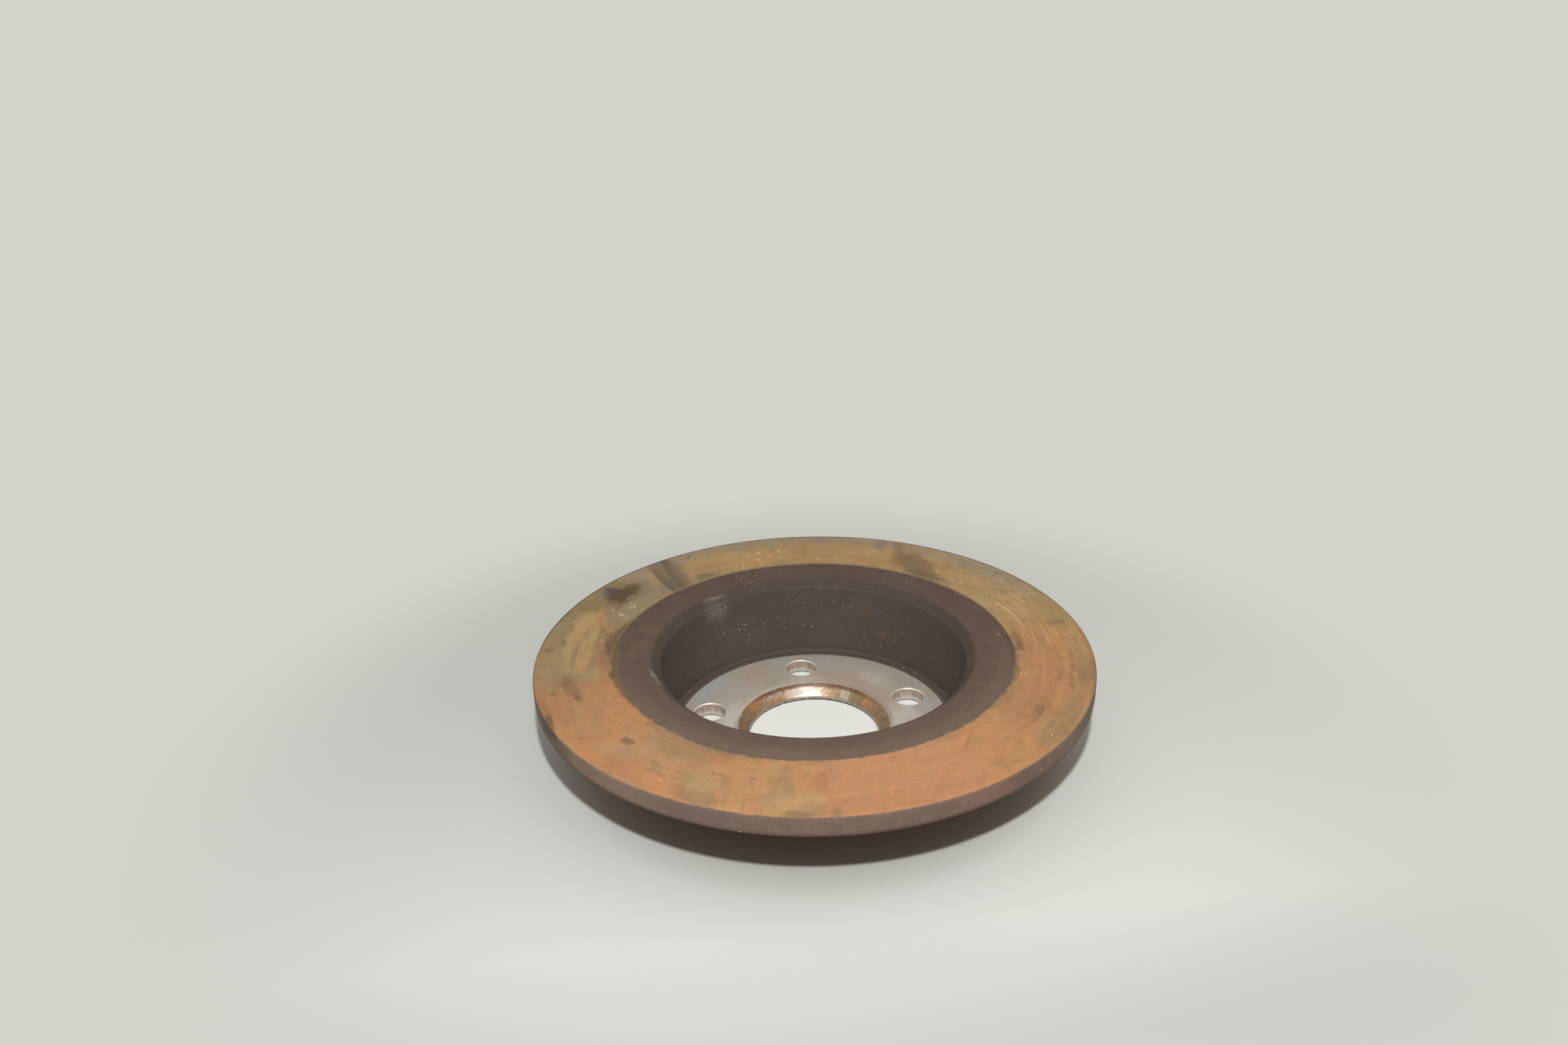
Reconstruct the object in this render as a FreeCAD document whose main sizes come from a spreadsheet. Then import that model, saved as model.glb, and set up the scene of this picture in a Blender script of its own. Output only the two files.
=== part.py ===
import FreeCAD, Part
import os
import Sketcher

# Solid rear brake disc: one grey iron casting, turned and drilled.
# It lies hat down. The wheel-side face of the hat is at z = 0, the axis is Z,
# and the friction ring is at the top, with the hat's open side facing up.

# Friction ring
ring_radius = 134.0           # outside of the ring
ring_thickness = 8.9          # between the two swept faces, worn
overall_height = 50.0         # wheel-side face to the inboard swept face
swept_radius = 96.2           # inner edge of both swept faces
swept_rise = 0.6              # how far a swept face stands proud of the unswept zone
ring_bevel = 0.5              # both outer edges of the ring

# Hat
mouth_radius = 78.2           # outer edge of the bevel at the hat's mouth
mouth_bevel_depth = 3.7       # depth of that bevel
mouth_edge_break = 0.6        # its upper edge, broken by the tool
wall_top_radius = 74.2        # inside of the hat wall, just below the mouth's bevel
wall_foot_radius = 72.4       # inside of the hat wall at the hub face
wall_thickness = 6.5          # hat wall
foot_fillet = 4.0             # inside corner between the hub face and the wall
neck_fillet = 3.0             # outside corner between the hat wall and the ring
wheel_face_bevel = 1.5        # outer edge of the wheel-side face

# Bolted centre
hub_plate_thickness = 7.1     # wheel-side face to the hub face
bore_radius = 32.5            # centring bore on the hub's spigot
bore_land = 2.0               # straight length of the centring bore
lead_in_radius = 38.0         # outer edge of the cone that leads into the bore
lead_in_edge_break = 0.8      # edge between that cone and the hub face
bolt_circle_radius = 54.0     # pitch circle of the wheel bolts
bolt_hole_radius = 8.0        # each bolt hole
bolt_hole_bevel = 0.45        # both edges of a bolt hole
bolt_hole_count = 5

doc = FreeCAD.newDocument("BrakeDisc")
sheet = doc.addObject("Spreadsheet::Sheet", "sizes")
cells = [
    ("ring_radius", ring_radius),
    ("ring_thickness", ring_thickness),
    ("overall_height", overall_height),
    ("swept_radius", swept_radius),
    ("swept_rise", swept_rise),
    ("ring_bevel", ring_bevel),
    ("mouth_radius", mouth_radius),
    ("mouth_bevel_depth", mouth_bevel_depth),
    ("mouth_edge_break", mouth_edge_break),
    ("wall_top_radius", wall_top_radius),
    ("wall_foot_radius", wall_foot_radius),
    ("wall_thickness", wall_thickness),
    ("foot_fillet", foot_fillet),
    ("neck_fillet", neck_fillet),
    ("wheel_face_bevel", wheel_face_bevel),
    ("hub_plate_thickness", hub_plate_thickness),
    ("bore_radius", bore_radius),
    ("bore_land", bore_land),
    ("lead_in_radius", lead_in_radius),
    ("lead_in_edge_break", lead_in_edge_break),
    ("bolt_circle_radius", bolt_circle_radius),
    ("bolt_hole_radius", bolt_hole_radius),
    ("bolt_hole_bevel", bolt_hole_bevel),
    ("bolt_hole_count", bolt_hole_count),
]
for row, (alias, number) in enumerate(cells, start=1):
    sheet.set("A%d" % row, alias)
    sheet.set("B%d" % row, str(number))
    sheet.setAlias("B%d" % row, alias)
doc.recompute()

# Heights and radii that follow from the sizes, as formulas on the sheet
HUB_FACE = "sizes.hub_plate_thickness"
SWEPT_TOP = "sizes.overall_height"
UNSWEPT_TOP = "sizes.overall_height - sizes.swept_rise"
SWEPT_UNDER = "sizes.overall_height - sizes.ring_thickness"
UNSWEPT_UNDER = "sizes.overall_height - sizes.ring_thickness + sizes.swept_rise"
WALL_TOP = "sizes.overall_height - sizes.swept_rise - sizes.mouth_bevel_depth"
NECK_RADIUS = "sizes.wall_top_radius + sizes.wall_thickness"
WHEEL_FACE_RADIUS = "sizes.wall_foot_radius + sizes.wall_thickness"

body = doc.addObject("PartDesign::Body", "brake_disc")
body.Label = "brake_disc"
body.Placement = FreeCAD.Placement(FreeCAD.Vector(0, 0, 0), FreeCAD.Rotation(0, 0, 0))
doc.recompute()


def value(formula):
    """What a formula on the sheet comes to, in mm."""
    return float(body.evalExpression(formula))


def origin_part(role):
    """One plane or axis of the body's own origin."""
    return [feature for feature in body.Origin.OriginFeatures if feature.Role == role][0]


def new_sketch(name, role):
    """An empty sketch on one of the body's origin planes."""
    sketch = body.newObject("Sketcher::SketchObject", name)
    sketch.AttachmentSupport = [(origin_part(role), "")]
    sketch.MapMode = "FlatFace"
    return sketch


def bind(sketch, constraint, name, formula):
    """Add a named dimension to a sketch and tie it to the sheet."""
    index = sketch.addConstraint(constraint)
    sketch.renameConstraint(index, name)
    sketch.setExpression("Constraints." + name, formula)


def circles(shape, radius, height, centre_distance="0"):
    """Names of the level circular edges with this radius and height,
    whose centres lie at one distance from the disc's axis."""
    found = []
    for number, edge in enumerate(shape.Edges, start=1):
        curve = edge.Curve
        if not isinstance(curve, Part.Circle) or abs(abs(curve.Axis.z) - 1) > 1e-6:
            continue
        off_axis = (curve.Center.x ** 2 + curve.Center.y ** 2) ** 0.5
        wanted = (value(radius), value(height), value(centre_distance))
        got = (curve.Radius, curve.Center.z, off_axis)
        if max(abs(a - b) for a, b in zip(wanted, got)) < 1e-4:
            found.append("Edge%d" % number)
    if not found:
        raise RuntimeError("no edge of radius %s at height %s" % (radius, height))
    return found


def dress(kind, name, base, edges, size_property, formula):
    """A fillet or a chamfer on edges of the last feature."""
    feature = body.newObject("PartDesign::" + kind, name)
    feature.Base = (base, edges)
    feature.setExpression(size_property, formula)
    doc.recompute()
    return feature


# Half section of the casting as turned. The corners go round the metal, each by its distance
# from the axis and its height above the wheel-side face; the first and last lie on that face.
corners = [
    ("bore_foot", "sizes.bore_radius", None),
    ("bore_top", "sizes.bore_radius", "sizes.bore_land"),
    ("lead_in", "sizes.lead_in_radius", HUB_FACE),
    ("wall_foot", "sizes.wall_foot_radius", HUB_FACE),
    ("wall_top", "sizes.wall_top_radius", WALL_TOP),
    ("mouth", "sizes.mouth_radius", UNSWEPT_TOP),
    ("unswept_edge", "sizes.swept_radius", UNSWEPT_TOP),
    ("swept_edge", "sizes.swept_radius", SWEPT_TOP),
    ("rim_top", "sizes.ring_radius", SWEPT_TOP),
    ("rim_foot", "sizes.ring_radius", SWEPT_UNDER),
    ("swept_edge_under", "sizes.swept_radius", SWEPT_UNDER),
    ("unswept_edge_under", "sizes.swept_radius", UNSWEPT_UNDER),
    ("neck", NECK_RADIUS, UNSWEPT_UNDER),
    ("wheel_face_edge", WHEEL_FACE_RADIUS, None),
]

section = new_sketch("section", "XZ_Plane")
points = [FreeCAD.Vector(value(out), value(up or "0"), 0) for name, out, up in corners]
for start, end in zip(points, points[1:] + points[:1]):
    section.addGeometry(Part.LineSegment(start, end), False)
for line in range(len(corners)):
    section.addConstraint(Sketcher.Constraint("Coincident", line, 2, (line + 1) % len(corners), 1))
for line, (name, out, up) in enumerate(corners):
    bind(section, Sketcher.Constraint("DistanceX", -1, 1, line, 1, points[line].x), name + "_out", out)
    if up is None:
        section.addConstraint(Sketcher.Constraint("PointOnObject", line, 1, -1))
    else:
        bind(section, Sketcher.Constraint("DistanceY", -1, 1, line, 1, points[line].y), name + "_up", up)

turned = body.newObject("PartDesign::Revolution", "turned")
turned.Profile = section
turned.ReferenceAxis = (section, ["V_Axis"])
turned.Angle = 360
doc.recompute()

# Cast corners of the hat, and the edges that the lathe tool breaks
foot = dress("Fillet", "foot_rounding", turned,
             circles(turned.Shape, "sizes.wall_foot_radius", HUB_FACE),
             "Radius", "sizes.foot_fillet")
neck = dress("Fillet", "neck_rounding", foot,
             circles(foot.Shape, NECK_RADIUS, UNSWEPT_UNDER),
             "Radius", "sizes.neck_fillet")
mouth = dress("Chamfer", "mouth_edge", neck,
              circles(neck.Shape, "sizes.mouth_radius", UNSWEPT_TOP),
              "Size", "sizes.mouth_edge_break")
lead_in = dress("Chamfer", "lead_in_edge", mouth,
                circles(mouth.Shape, "sizes.lead_in_radius", HUB_FACE),
                "Size", "sizes.lead_in_edge_break")
wheel_face = dress("Chamfer", "wheel_face_edge", lead_in,
                   circles(lead_in.Shape, WHEEL_FACE_RADIUS, "0"),
                   "Size", "sizes.wheel_face_bevel")
rim = dress("Chamfer", "rim_edges", wheel_face,
            circles(wheel_face.Shape, "sizes.ring_radius", SWEPT_TOP)
            + circles(wheel_face.Shape, "sizes.ring_radius", SWEPT_UNDER),
            "Size", "sizes.ring_bevel")

# One bolt hole, drilled through the plate on the Y axis, then copied round the pitch circle
hole_sketch = new_sketch("bolt_hole_centre", "XY_Plane")
hole_centre = FreeCAD.Vector(0, bolt_circle_radius, 0)
hole_sketch.addGeometry(Part.Circle(hole_centre, FreeCAD.Vector(0, 0, 1), bolt_hole_radius), False)
hole_sketch.addConstraint(Sketcher.Constraint("PointOnObject", 0, 3, -2))
bind(hole_sketch, Sketcher.Constraint("DistanceY", -1, 1, 0, 3, bolt_circle_radius),
     "pitch", "sizes.bolt_circle_radius")
bind(hole_sketch, Sketcher.Constraint("Radius", 0, bolt_hole_radius), "hole", "sizes.bolt_hole_radius")

hole = body.newObject("PartDesign::Pocket", "bolt_hole")
hole.Profile = hole_sketch
hole.Type = "Length"
hole.setExpression("Length", HUB_FACE)
hole.Reversed = True
doc.recompute()

holes = body.newObject("PartDesign::PolarPattern", "bolt_holes")
holes.Originals = [hole]
holes.Axis = (origin_part("Z_Axis"), [""])
holes.Angle = 360
holes.setExpression("Occurrences", "sizes.bolt_hole_count")
body.Tip = holes
doc.recompute()

hole_edges = []
for level in (HUB_FACE, "0"):
    hole_edges += circles(holes.Shape, "sizes.bolt_hole_radius", level, "sizes.bolt_circle_radius")
finished = dress("Chamfer", "bolt_hole_edges", holes, hole_edges, "Size", "sizes.bolt_hole_bevel")
body.Tip = finished
doc.recompute()

# Nothing is written unless every feature is sound and every hole went through
for item in doc.Objects:
    if "Invalid" in item.State or "Error" in item.State:
        raise RuntimeError("%s is %s" % (item.Name, item.State))
if body.Shape.isNull() or not body.Shape.isValid() or len(body.Shape.Solids) != 1:
    raise RuntimeError("the disc is not one sound solid")
plug = Part.makeCylinder(bolt_hole_radius, hub_plate_thickness).Volume
drilled = (rim.Shape.Volume - holes.Shape.Volume) / plug
if abs(drilled - bolt_hole_count) > 0.01:
    raise RuntimeError("the drilling took %.2f holes" % drilled)

os.makedirs("parts", exist_ok=True)
body.Shape.exportStep("parts/%s.step" % body.Label)
box = body.Shape.BoundBox
print("brake_disc %.2f x %.2f x %.2f mm, volume %.0f cubic mm" % (
    box.XLength, box.YLength, box.ZLength, body.Shape.Volume))
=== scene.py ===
import math
import bmesh
import bpy
from mathutils import Matrix, Vector, noise


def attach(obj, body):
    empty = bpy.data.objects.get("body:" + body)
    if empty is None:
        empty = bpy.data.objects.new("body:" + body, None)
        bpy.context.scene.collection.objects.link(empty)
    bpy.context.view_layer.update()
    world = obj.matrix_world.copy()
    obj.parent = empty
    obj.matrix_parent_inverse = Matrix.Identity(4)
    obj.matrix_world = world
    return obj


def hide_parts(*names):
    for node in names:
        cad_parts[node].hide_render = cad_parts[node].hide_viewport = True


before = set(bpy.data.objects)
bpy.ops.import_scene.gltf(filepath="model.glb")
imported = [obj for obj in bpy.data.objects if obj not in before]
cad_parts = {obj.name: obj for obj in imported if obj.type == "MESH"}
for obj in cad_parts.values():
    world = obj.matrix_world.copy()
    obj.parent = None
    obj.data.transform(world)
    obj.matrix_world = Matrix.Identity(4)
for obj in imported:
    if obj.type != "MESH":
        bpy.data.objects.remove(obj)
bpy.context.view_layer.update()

MM = 0.001
scene = bpy.context.scene
scene.view_settings.view_transform = "Standard"

# The photograph's view: a camera held in front of the disc and above it, looking down into the
# hat. Its place and its turns come from the disc's own circles in the photograph.
LENS_MM = 26.594
LENS_PLACE = (-59.67, -492.22, 325.09)
HEADING = -5.486
LOOK_DOWN = 22.891
ROLL = -1.519
camera_data = bpy.data.cameras.new("photo_view")
camera_data.sensor_width = 36.0
camera_data.lens = LENS_MM
camera_data.clip_start = 0.01
camera = bpy.data.objects.new("photo_view", camera_data)
scene.collection.objects.link(camera)
lens_place = Matrix.Translation(Vector(LENS_PLACE) * MM)
heading = Matrix.Rotation(math.radians(HEADING), 4, "Z")
tilt = Matrix.Rotation(math.radians(90 - LOOK_DOWN), 4, "X")
roll = Matrix.Rotation(math.radians(ROLL), 4, "Z")
camera.matrix_world = lens_place @ heading @ tilt @ roll
scene.camera = camera

# The board it lies on: plain, pale and a little glossy. Its colour holds painted light: lighter
# towards the far corner, painted shade along the front, a painted shadow under the ring and
# painted light where the board shows through the hat. Away from the disc the board turns into the
# same even pale tone as the backdrop, so no horizon shows; by the disc it keeps the shadow.
# Lengths on the board are in metres.
PALE_TONE = (0.655, 0.655, 0.61, 1)
BOARD_TONE = (0.60, 0.603, 0.585, 1)
FAR_CORNER_PAINTED_LIGHT = (0.70, 0.705, 0.675, 1)
FRONT_PAINTED_SHADE = (0.47, 0.475, 0.46, 1)
UNDER_RING_PAINTED_SHADOW = (0.47, 0.47, 0.445, 1)
UNDER_HAT_PAINTED_LIGHT = (0.80, 0.81, 0.785, 1)
BOARD_HALF = 6.0
LIT_RADIUS = 0.17
EVEN_RADIUS = 0.34


def add_node(tree, kind, inputs=None, **settings):
    """Adds a node, sets its own settings, then fills its inputs with values or with links."""
    node = tree.nodes.new(kind)
    for name, value in settings.items():
        setattr(node, name, value)
    for name, value in (inputs or {}).items():
        if isinstance(value, bpy.types.NodeSocket):
            tree.links.new(value, node.inputs[name])
        else:
            node.inputs[name].default_value = value
    return node


def math_node(tree, operation, *values):
    """The result of one sum with numbers."""
    return add_node(tree, "ShaderNodeMath", dict(enumerate(values)), operation=operation).outputs[0]


def vector_node(tree, operation, *values):
    """The result of one sum with vectors, which is a number for a length or a dot product."""
    node = add_node(tree, "ShaderNodeVectorMath", dict(enumerate(values)), operation=operation)
    return node.outputs["Value" if operation in ("LENGTH", "DOT_PRODUCT") else "Vector"]


def parts_of(tree, vector):
    """The X, Y and Z of a vector."""
    return add_node(tree, "ShaderNodeSeparateXYZ", {0: vector}).outputs


def ramp(tree, value, start, end, low=0.0, high=1.0, way="SMOOTHSTEP"):
    """Goes from low to high while the value goes from start to end."""
    return add_node(tree, "ShaderNodeMapRange", {"Value": value, "From Min": start, "From Max": end,
                                                 "To Min": low, "To Max": high},
                    interpolation_type=way).outputs["Result"]


def blend(tree, share, first, second):
    """Mixes two colours: the first where the share is 0, the second where it is 1."""
    return add_node(tree, "ShaderNodeMix", {0: share, 6: first, 7: second}, data_type="RGBA").outputs[2]


def seen_by_eye(tree):
    """1 for the rays that the eye sees, straight or mirrored, and 0 for those that only light."""
    rays = add_node(tree, "ShaderNodeLightPath").outputs
    seen = math_node(tree, "MAXIMUM", rays["Is Camera Ray"], rays["Is Glossy Ray"])
    return math_node(tree, "MAXIMUM", seen, rays["Is Transmission Ray"])


board_mesh = bpy.data.meshes.new("board")
board_bm = bmesh.new()
bmesh.ops.create_grid(board_bm, x_segments=2, y_segments=2, size=BOARD_HALF)
board_bm.to_mesh(board_mesh)
board_bm.free()
board = bpy.data.objects.new("board", board_mesh)
scene.collection.objects.link(board)

pale_board = bpy.data.materials.new("pale_board")
pale_board.use_nodes = True
tree = pale_board.node_tree
board_shader = tree.nodes["Principled BSDF"]
board_shader.inputs["Roughness"].default_value = 0.5
board_shader.inputs["Specular IOR Level"].default_value = 0.12
board_place = add_node(tree, "ShaderNodeTexCoord").outputs["Object"]
from_disc = vector_node(tree, "LENGTH", board_place)
to_far_corner = vector_node(tree, "DOT_PRODUCT", board_place, (1.1, 1, 0))
to_back = parts_of(tree, board_place)["Y"]
board_colour = BOARD_TONE
# Painted light on the board: lighter towards the far corner, painted shade at the front, a painted
# shadow under the ring and painted light under the hat.
for place, start, end, tone in ((to_far_corner, -0.25, 0.26, FAR_CORNER_PAINTED_LIGHT),
                                (to_back, -0.14, -0.20, FRONT_PAINTED_SHADE),
                                (from_disc, 0.125, 0.10, UNDER_RING_PAINTED_SHADOW),
                                (from_disc, 0.08, 0.06, UNDER_HAT_PAINTED_LIGHT)):
    board_colour = blend(tree, ramp(tree, place, start, end, way="LINEAR"), board_colour, tone)
tree.links.new(board_colour, board_shader.inputs["Base Color"])
evenness = ramp(tree, from_disc, LIT_RADIUS, EVEN_RADIUS)
even_seen = math_node(tree, "MULTIPLY", seen_by_eye(tree), evenness)
even_tone = add_node(tree, "ShaderNodeEmission", {"Color": PALE_TONE, "Strength": 1.0})
board_mix = add_node(tree, "ShaderNodeMixShader", {0: even_seen, 1: board_shader.outputs[0],
                                                   2: even_tone.outputs[0]})
tree.links.new(board_mix.outputs[0], tree.nodes["Material Output"].inputs["Surface"])
board.data.materials.append(pale_board)

# Light: half from an even pale surround and half from one small lamp just above the lens, which
# throws the crisp shadow that runs out behind the disc and under the ring's near side.
SURROUND_TONE = (1.0, 0.985, 0.92, 1)
OVERHEAD_STRENGTH = 0.68
HORIZON = 0.12
LAMP_PLACE = (-52.3, -496.6, 501.8)
LAMP_WIDTH = 0.022
LAMP_POWER = 4.0
surround = bpy.data.worlds.new("surround")
surround.use_nodes = True
tree = surround.node_tree
lighting = tree.nodes["Background"]
lighting.inputs["Color"].default_value = SURROUND_TONE
direction = parts_of(tree, add_node(tree, "ShaderNodeTexCoord").outputs["Generated"])
steepness = math_node(tree, "ABSOLUTE", direction["Z"])
tree.links.new(ramp(tree, steepness, HORIZON, 1.0, 0.0, OVERHEAD_STRENGTH, way="LINEAR"),
               lighting.inputs["Strength"])
backdrop = add_node(tree, "ShaderNodeBackground", {"Color": PALE_TONE, "Strength": 1.0})
world_mix = add_node(tree, "ShaderNodeMixShader", {0: seen_by_eye(tree), 1: lighting.outputs[0],
                                                   2: backdrop.outputs[0]})
tree.links.new(world_mix.outputs[0], tree.nodes["World Output"].inputs["Surface"])
scene.world = surround

lamp_data = bpy.data.lights.new("lamp_above_lens", "AREA")
lamp_data.shape = "DISK"
lamp_data.size = LAMP_WIDTH
lamp_data.energy = LAMP_POWER
lamp = bpy.data.objects.new("lamp_above_lens", lamp_data)
scene.collection.objects.link(lamp)
lamp_spot = Vector(LAMP_PLACE) * MM
aim = (-lamp_spot).to_track_quat("-Z", "Y").to_matrix().to_4x4()
lamp.matrix_world = Matrix.Translation(lamp_spot) @ aim

# The disc: one grey iron casting, turned on both faces and in the bore, then drilled. The half
# section is spun round the axis, its corners are broken or rounded as the tool left them, and
# the hub plate is filled in round the bolt holes.
ROUND_STEPS = 384
HUB_FACE = 7.1
RING_TOP = 50.0
RING_UNDERSIDE = 41.1
RING_RADIUS = 134.0
STEP_RADIUS = 96.2
UNSWEPT_TOP = 49.4
UNSWEPT_UNDERSIDE = 41.7
MOUTH = (78.2, UNSWEPT_TOP)
WALL_TOP = (74.2, 45.7)
WALL_FOOT = (72.42, HUB_FACE)
NECK = (80.7, UNSWEPT_UNDERSIDE)
WHEEL_EDGE = (78.9, 0.0)
PLATE_OUTER = 67.9
PLATE_INNER = 41.5
BORE_RADIUS = 32.5
LAND_TOP = (BORE_RADIUS, 2.0)
LEAD_IN_RADIUS = 38.0
LEAD_IN = (LEAD_IN_RADIUS, HUB_FACE)
BOLT_CIRCLE = 54.0
BOLT_HOLES = 5
SAME_PLACE = 1e-6
disc_bm = bmesh.new()


def spin_section(bm, points):
    """Spins a run of (radius, height) points, in mm, once round the axis."""
    corners = [bm.verts.new((out * MM, 0, up * MM)) for out, up in points]
    edges = [bm.edges.new(pair) for pair in zip(corners, corners[1:])]
    bmesh.ops.spin(bm, geom=corners + edges, cent=(0, 0, 0), axis=(0, 0, 1), angle=math.tau,
                   steps=ROUND_STEPS, use_merge=True)


def run_through(*stops):
    """Evenly spaced points along a run of corners; each stop is (corner, pieces to the next)."""
    points = []
    for (start, pieces), (end, _) in zip(stops, stops[1:]):
        for step in range(pieces):
            share = step / pieces
            out = start[0] + (end[0] - start[0]) * share
            up = start[1] + (end[1] - start[1]) * share
            points.append((out, up))
    return points + [stops[-1][0]]


spin_section(disc_bm, run_through(
    ((PLATE_OUTER, HUB_FACE), 1), (WALL_FOOT, 20), (WALL_TOP, 3), (MOUTH, 10),
    ((STEP_RADIUS, UNSWEPT_TOP), 1), ((STEP_RADIUS, RING_TOP), 20), ((RING_RADIUS, RING_TOP), 5),
    ((RING_RADIUS, RING_UNDERSIDE), 6), ((STEP_RADIUS, RING_UNDERSIDE), 1),
    ((STEP_RADIUS, UNSWEPT_UNDERSIDE), 3), (NECK, 8), (WHEEL_EDGE, 1), ((PLATE_OUTER, 0.0), 1)))
spin_section(disc_bm, run_through(
    ((PLATE_INNER, 0.0), 1), ((BORE_RADIUS, 0.0), 1), (LAND_TOP, 3),
    (LEAD_IN, 1), ((PLATE_INNER, HUB_FACE), 1)))


def edges_round(bm, radius, height):
    """The circle of edges at one corner of the section."""
    return [edge for edge in bm.edges
            if all(abs(v.co.z - height * MM) < SAME_PLACE
                   and abs(v.co.xy.length - radius * MM) < SAME_PLACE for v in edge.verts)]


# Each worn or broken corner, with its width in mm and its number of cuts.
for corner, width, cuts in (
        (WALL_FOOT, 3.8, 5), (WALL_TOP, 0.5, 2), (MOUTH, 0.9, 3), ((RING_RADIUS, RING_TOP), 0.5, 2),
        ((RING_RADIUS, RING_UNDERSIDE), 0.5, 2), (NECK, 3.0, 4), (WHEEL_EDGE, 1.5, 2),
        (LEAD_IN, 0.6, 3), (LAND_TOP, 0.4, 2)):
    bmesh.ops.bevel(disc_bm, geom=edges_round(disc_bm, *corner), offset=width * MM,
                    offset_type="OFFSET", affect="EDGES", segments=cuts, profile=0.5,
                    material=-1, clamp_overlap=True)

# Bolt holes: drilled through the plate on one circle, the first on the Y axis, edges broken.
HOLE_RADIUS = 8.0
HOLE_BREAK = 0.45
HOLE_STEPS = 64
wall_drop = (HUB_FACE - 2 * HOLE_BREAK) / 2
for number in range(BOLT_HOLES):
    angle = math.radians(90) + math.tau * number / BOLT_HOLES
    centre = Vector((math.cos(angle), math.sin(angle), 0)) * BOLT_CIRCLE * MM
    lip = Matrix.Translation(centre + Vector((0, 0, HUB_FACE * MM)))
    ring = bmesh.ops.create_circle(disc_bm, cap_ends=False, segments=HOLE_STEPS,
                                   radius=(HOLE_RADIUS + HOLE_BREAK) * MM, matrix=lip)["verts"]
    edges = list({edge for vert in ring for edge in vert.link_edges})
    for radius, drop in ((HOLE_RADIUS, HOLE_BREAK), (HOLE_RADIUS, wall_drop),
                         (HOLE_RADIUS, wall_drop), (HOLE_RADIUS + HOLE_BREAK, HOLE_BREAK)):
        drawn = bmesh.ops.extrude_edge_only(disc_bm, edges=edges)["geom"]
        edges = [item for item in drawn if isinstance(item, bmesh.types.BMEdge)]
        for vert in (item for item in drawn if isinstance(item, bmesh.types.BMVert)):
            spoke = (vert.co.xy - centre.xy).normalized() * radius * MM
            vert.co = Vector((centre.x + spoke.x, centre.y + spoke.y, vert.co.z - drop * MM))

for level, up in ((HUB_FACE, 1), (0.0, -1)):
    open_edges = [edge for edge in disc_bm.edges if edge.is_boundary
                  and all(abs(v.co.z - level * MM) < SAME_PLACE for v in edge.verts)]
    bmesh.ops.triangle_fill(disc_bm, edges=open_edges, use_beauty=True, normal=(0, 0, up))
bmesh.ops.recalc_face_normals(disc_bm, faces=disc_bm.faces)

# Wear and casting: the hat's cast wall is slightly uneven, inside and out, and rust has eaten
# into the step and into both edges of the rim.
for vert in disc_bm.verts:
    radius, height = vert.co.xy.length / MM, vert.co.z / MM
    outward = Vector((vert.co.x, vert.co.y, 0)).normalized()
    slow = noise.noise(Vector((outward.x * 7, outward.y * 7, height * 0.11)))
    quick = noise.noise(Vector((outward.x * 31, outward.y * 31, height * 0.4)) + Vector((9, 4, 2)))
    inside_hat = 71 < radius < 75 and 8.5 < height < 46.5
    outside_hat = 78.3 < radius < 82 and 3 < height < 39
    at_step = abs(radius - STEP_RADIUS) < 0.3 and height > 45
    on_rim_band = radius > RING_RADIUS - 0.05 and 42 < height < 49
    at_rim_edge = radius > RING_RADIUS - 0.7 and not on_rim_band
    shift = 0.0
    if inside_hat:
        shift = 0.16 * slow + 0.10 * quick
    elif outside_hat:
        shift = 0.20 * slow + 0.12 * quick
    elif at_step:
        shift = 0.10 * slow + 0.08 * quick
    elif at_rim_edge:
        shift = -(0.06 + 0.10 * abs(quick))
    vert.co += outward * shift * MM


def as_seen(red, green, blue):
    """A colour as it shows on a screen, 0 to 255, turned into Blender's linear colour."""
    shares = [value / 255 for value in (red, green, blue)]
    linear = [share / 12.92 if share < 0.04 else ((share + 0.055) / 1.055) ** 2.4 for share in shares]
    return (*linear, 1)


def new_group(name, inputs, outputs):
    """A shader node group with named inputs (name, kind, default) and outputs (name, kind)."""
    group = bpy.data.node_groups.new(name, "ShaderNodeTree")
    for label, kind, default in inputs:
        socket = group.interface.new_socket(label, in_out="INPUT", socket_type="NodeSocket" + kind)
        socket.default_value = default
    for label, kind in outputs:
        group.interface.new_socket(label, in_out="OUTPUT", socket_type="NodeSocket" + kind)
    given = group.nodes.new("NodeGroupInput").outputs
    return group, given, group.nodes.new("NodeGroupOutput").inputs


def fill_group(tree, group, inputs):
    """Puts a node group into a tree, fills its inputs and gives back its outputs."""
    return add_node(tree, "ShaderNodeGroup", inputs, node_tree=group).outputs


def times(tree, first, second):
    """One number times another."""
    return math_node(tree, "MULTIPLY", first, second)


def scaled(tree, vector, factor):
    """A vector or a colour times a number."""
    return add_node(tree, "ShaderNodeVectorMath", {0: vector, "Scale": factor},
                    operation="SCALE").outputs["Vector"]


def place_in_mm(tree):
    """Where a spot lies on the disc, in mm."""
    return scaled(tree, add_node(tree, "ShaderNodeTexCoord").outputs["Object"], 1 / MM)


def soft_noise(tree, place, scale=1.0, detail=3.0, roughness=0.5, distortion=0.0):
    """Soft uneven tones, as a number Fac and as a Color."""
    return add_node(tree, "ShaderNodeTexNoise", {"Vector": place, "Scale": scale, "Detail": detail,
                                                 "Roughness": roughness,
                                                 "Distortion": distortion}).outputs


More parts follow.
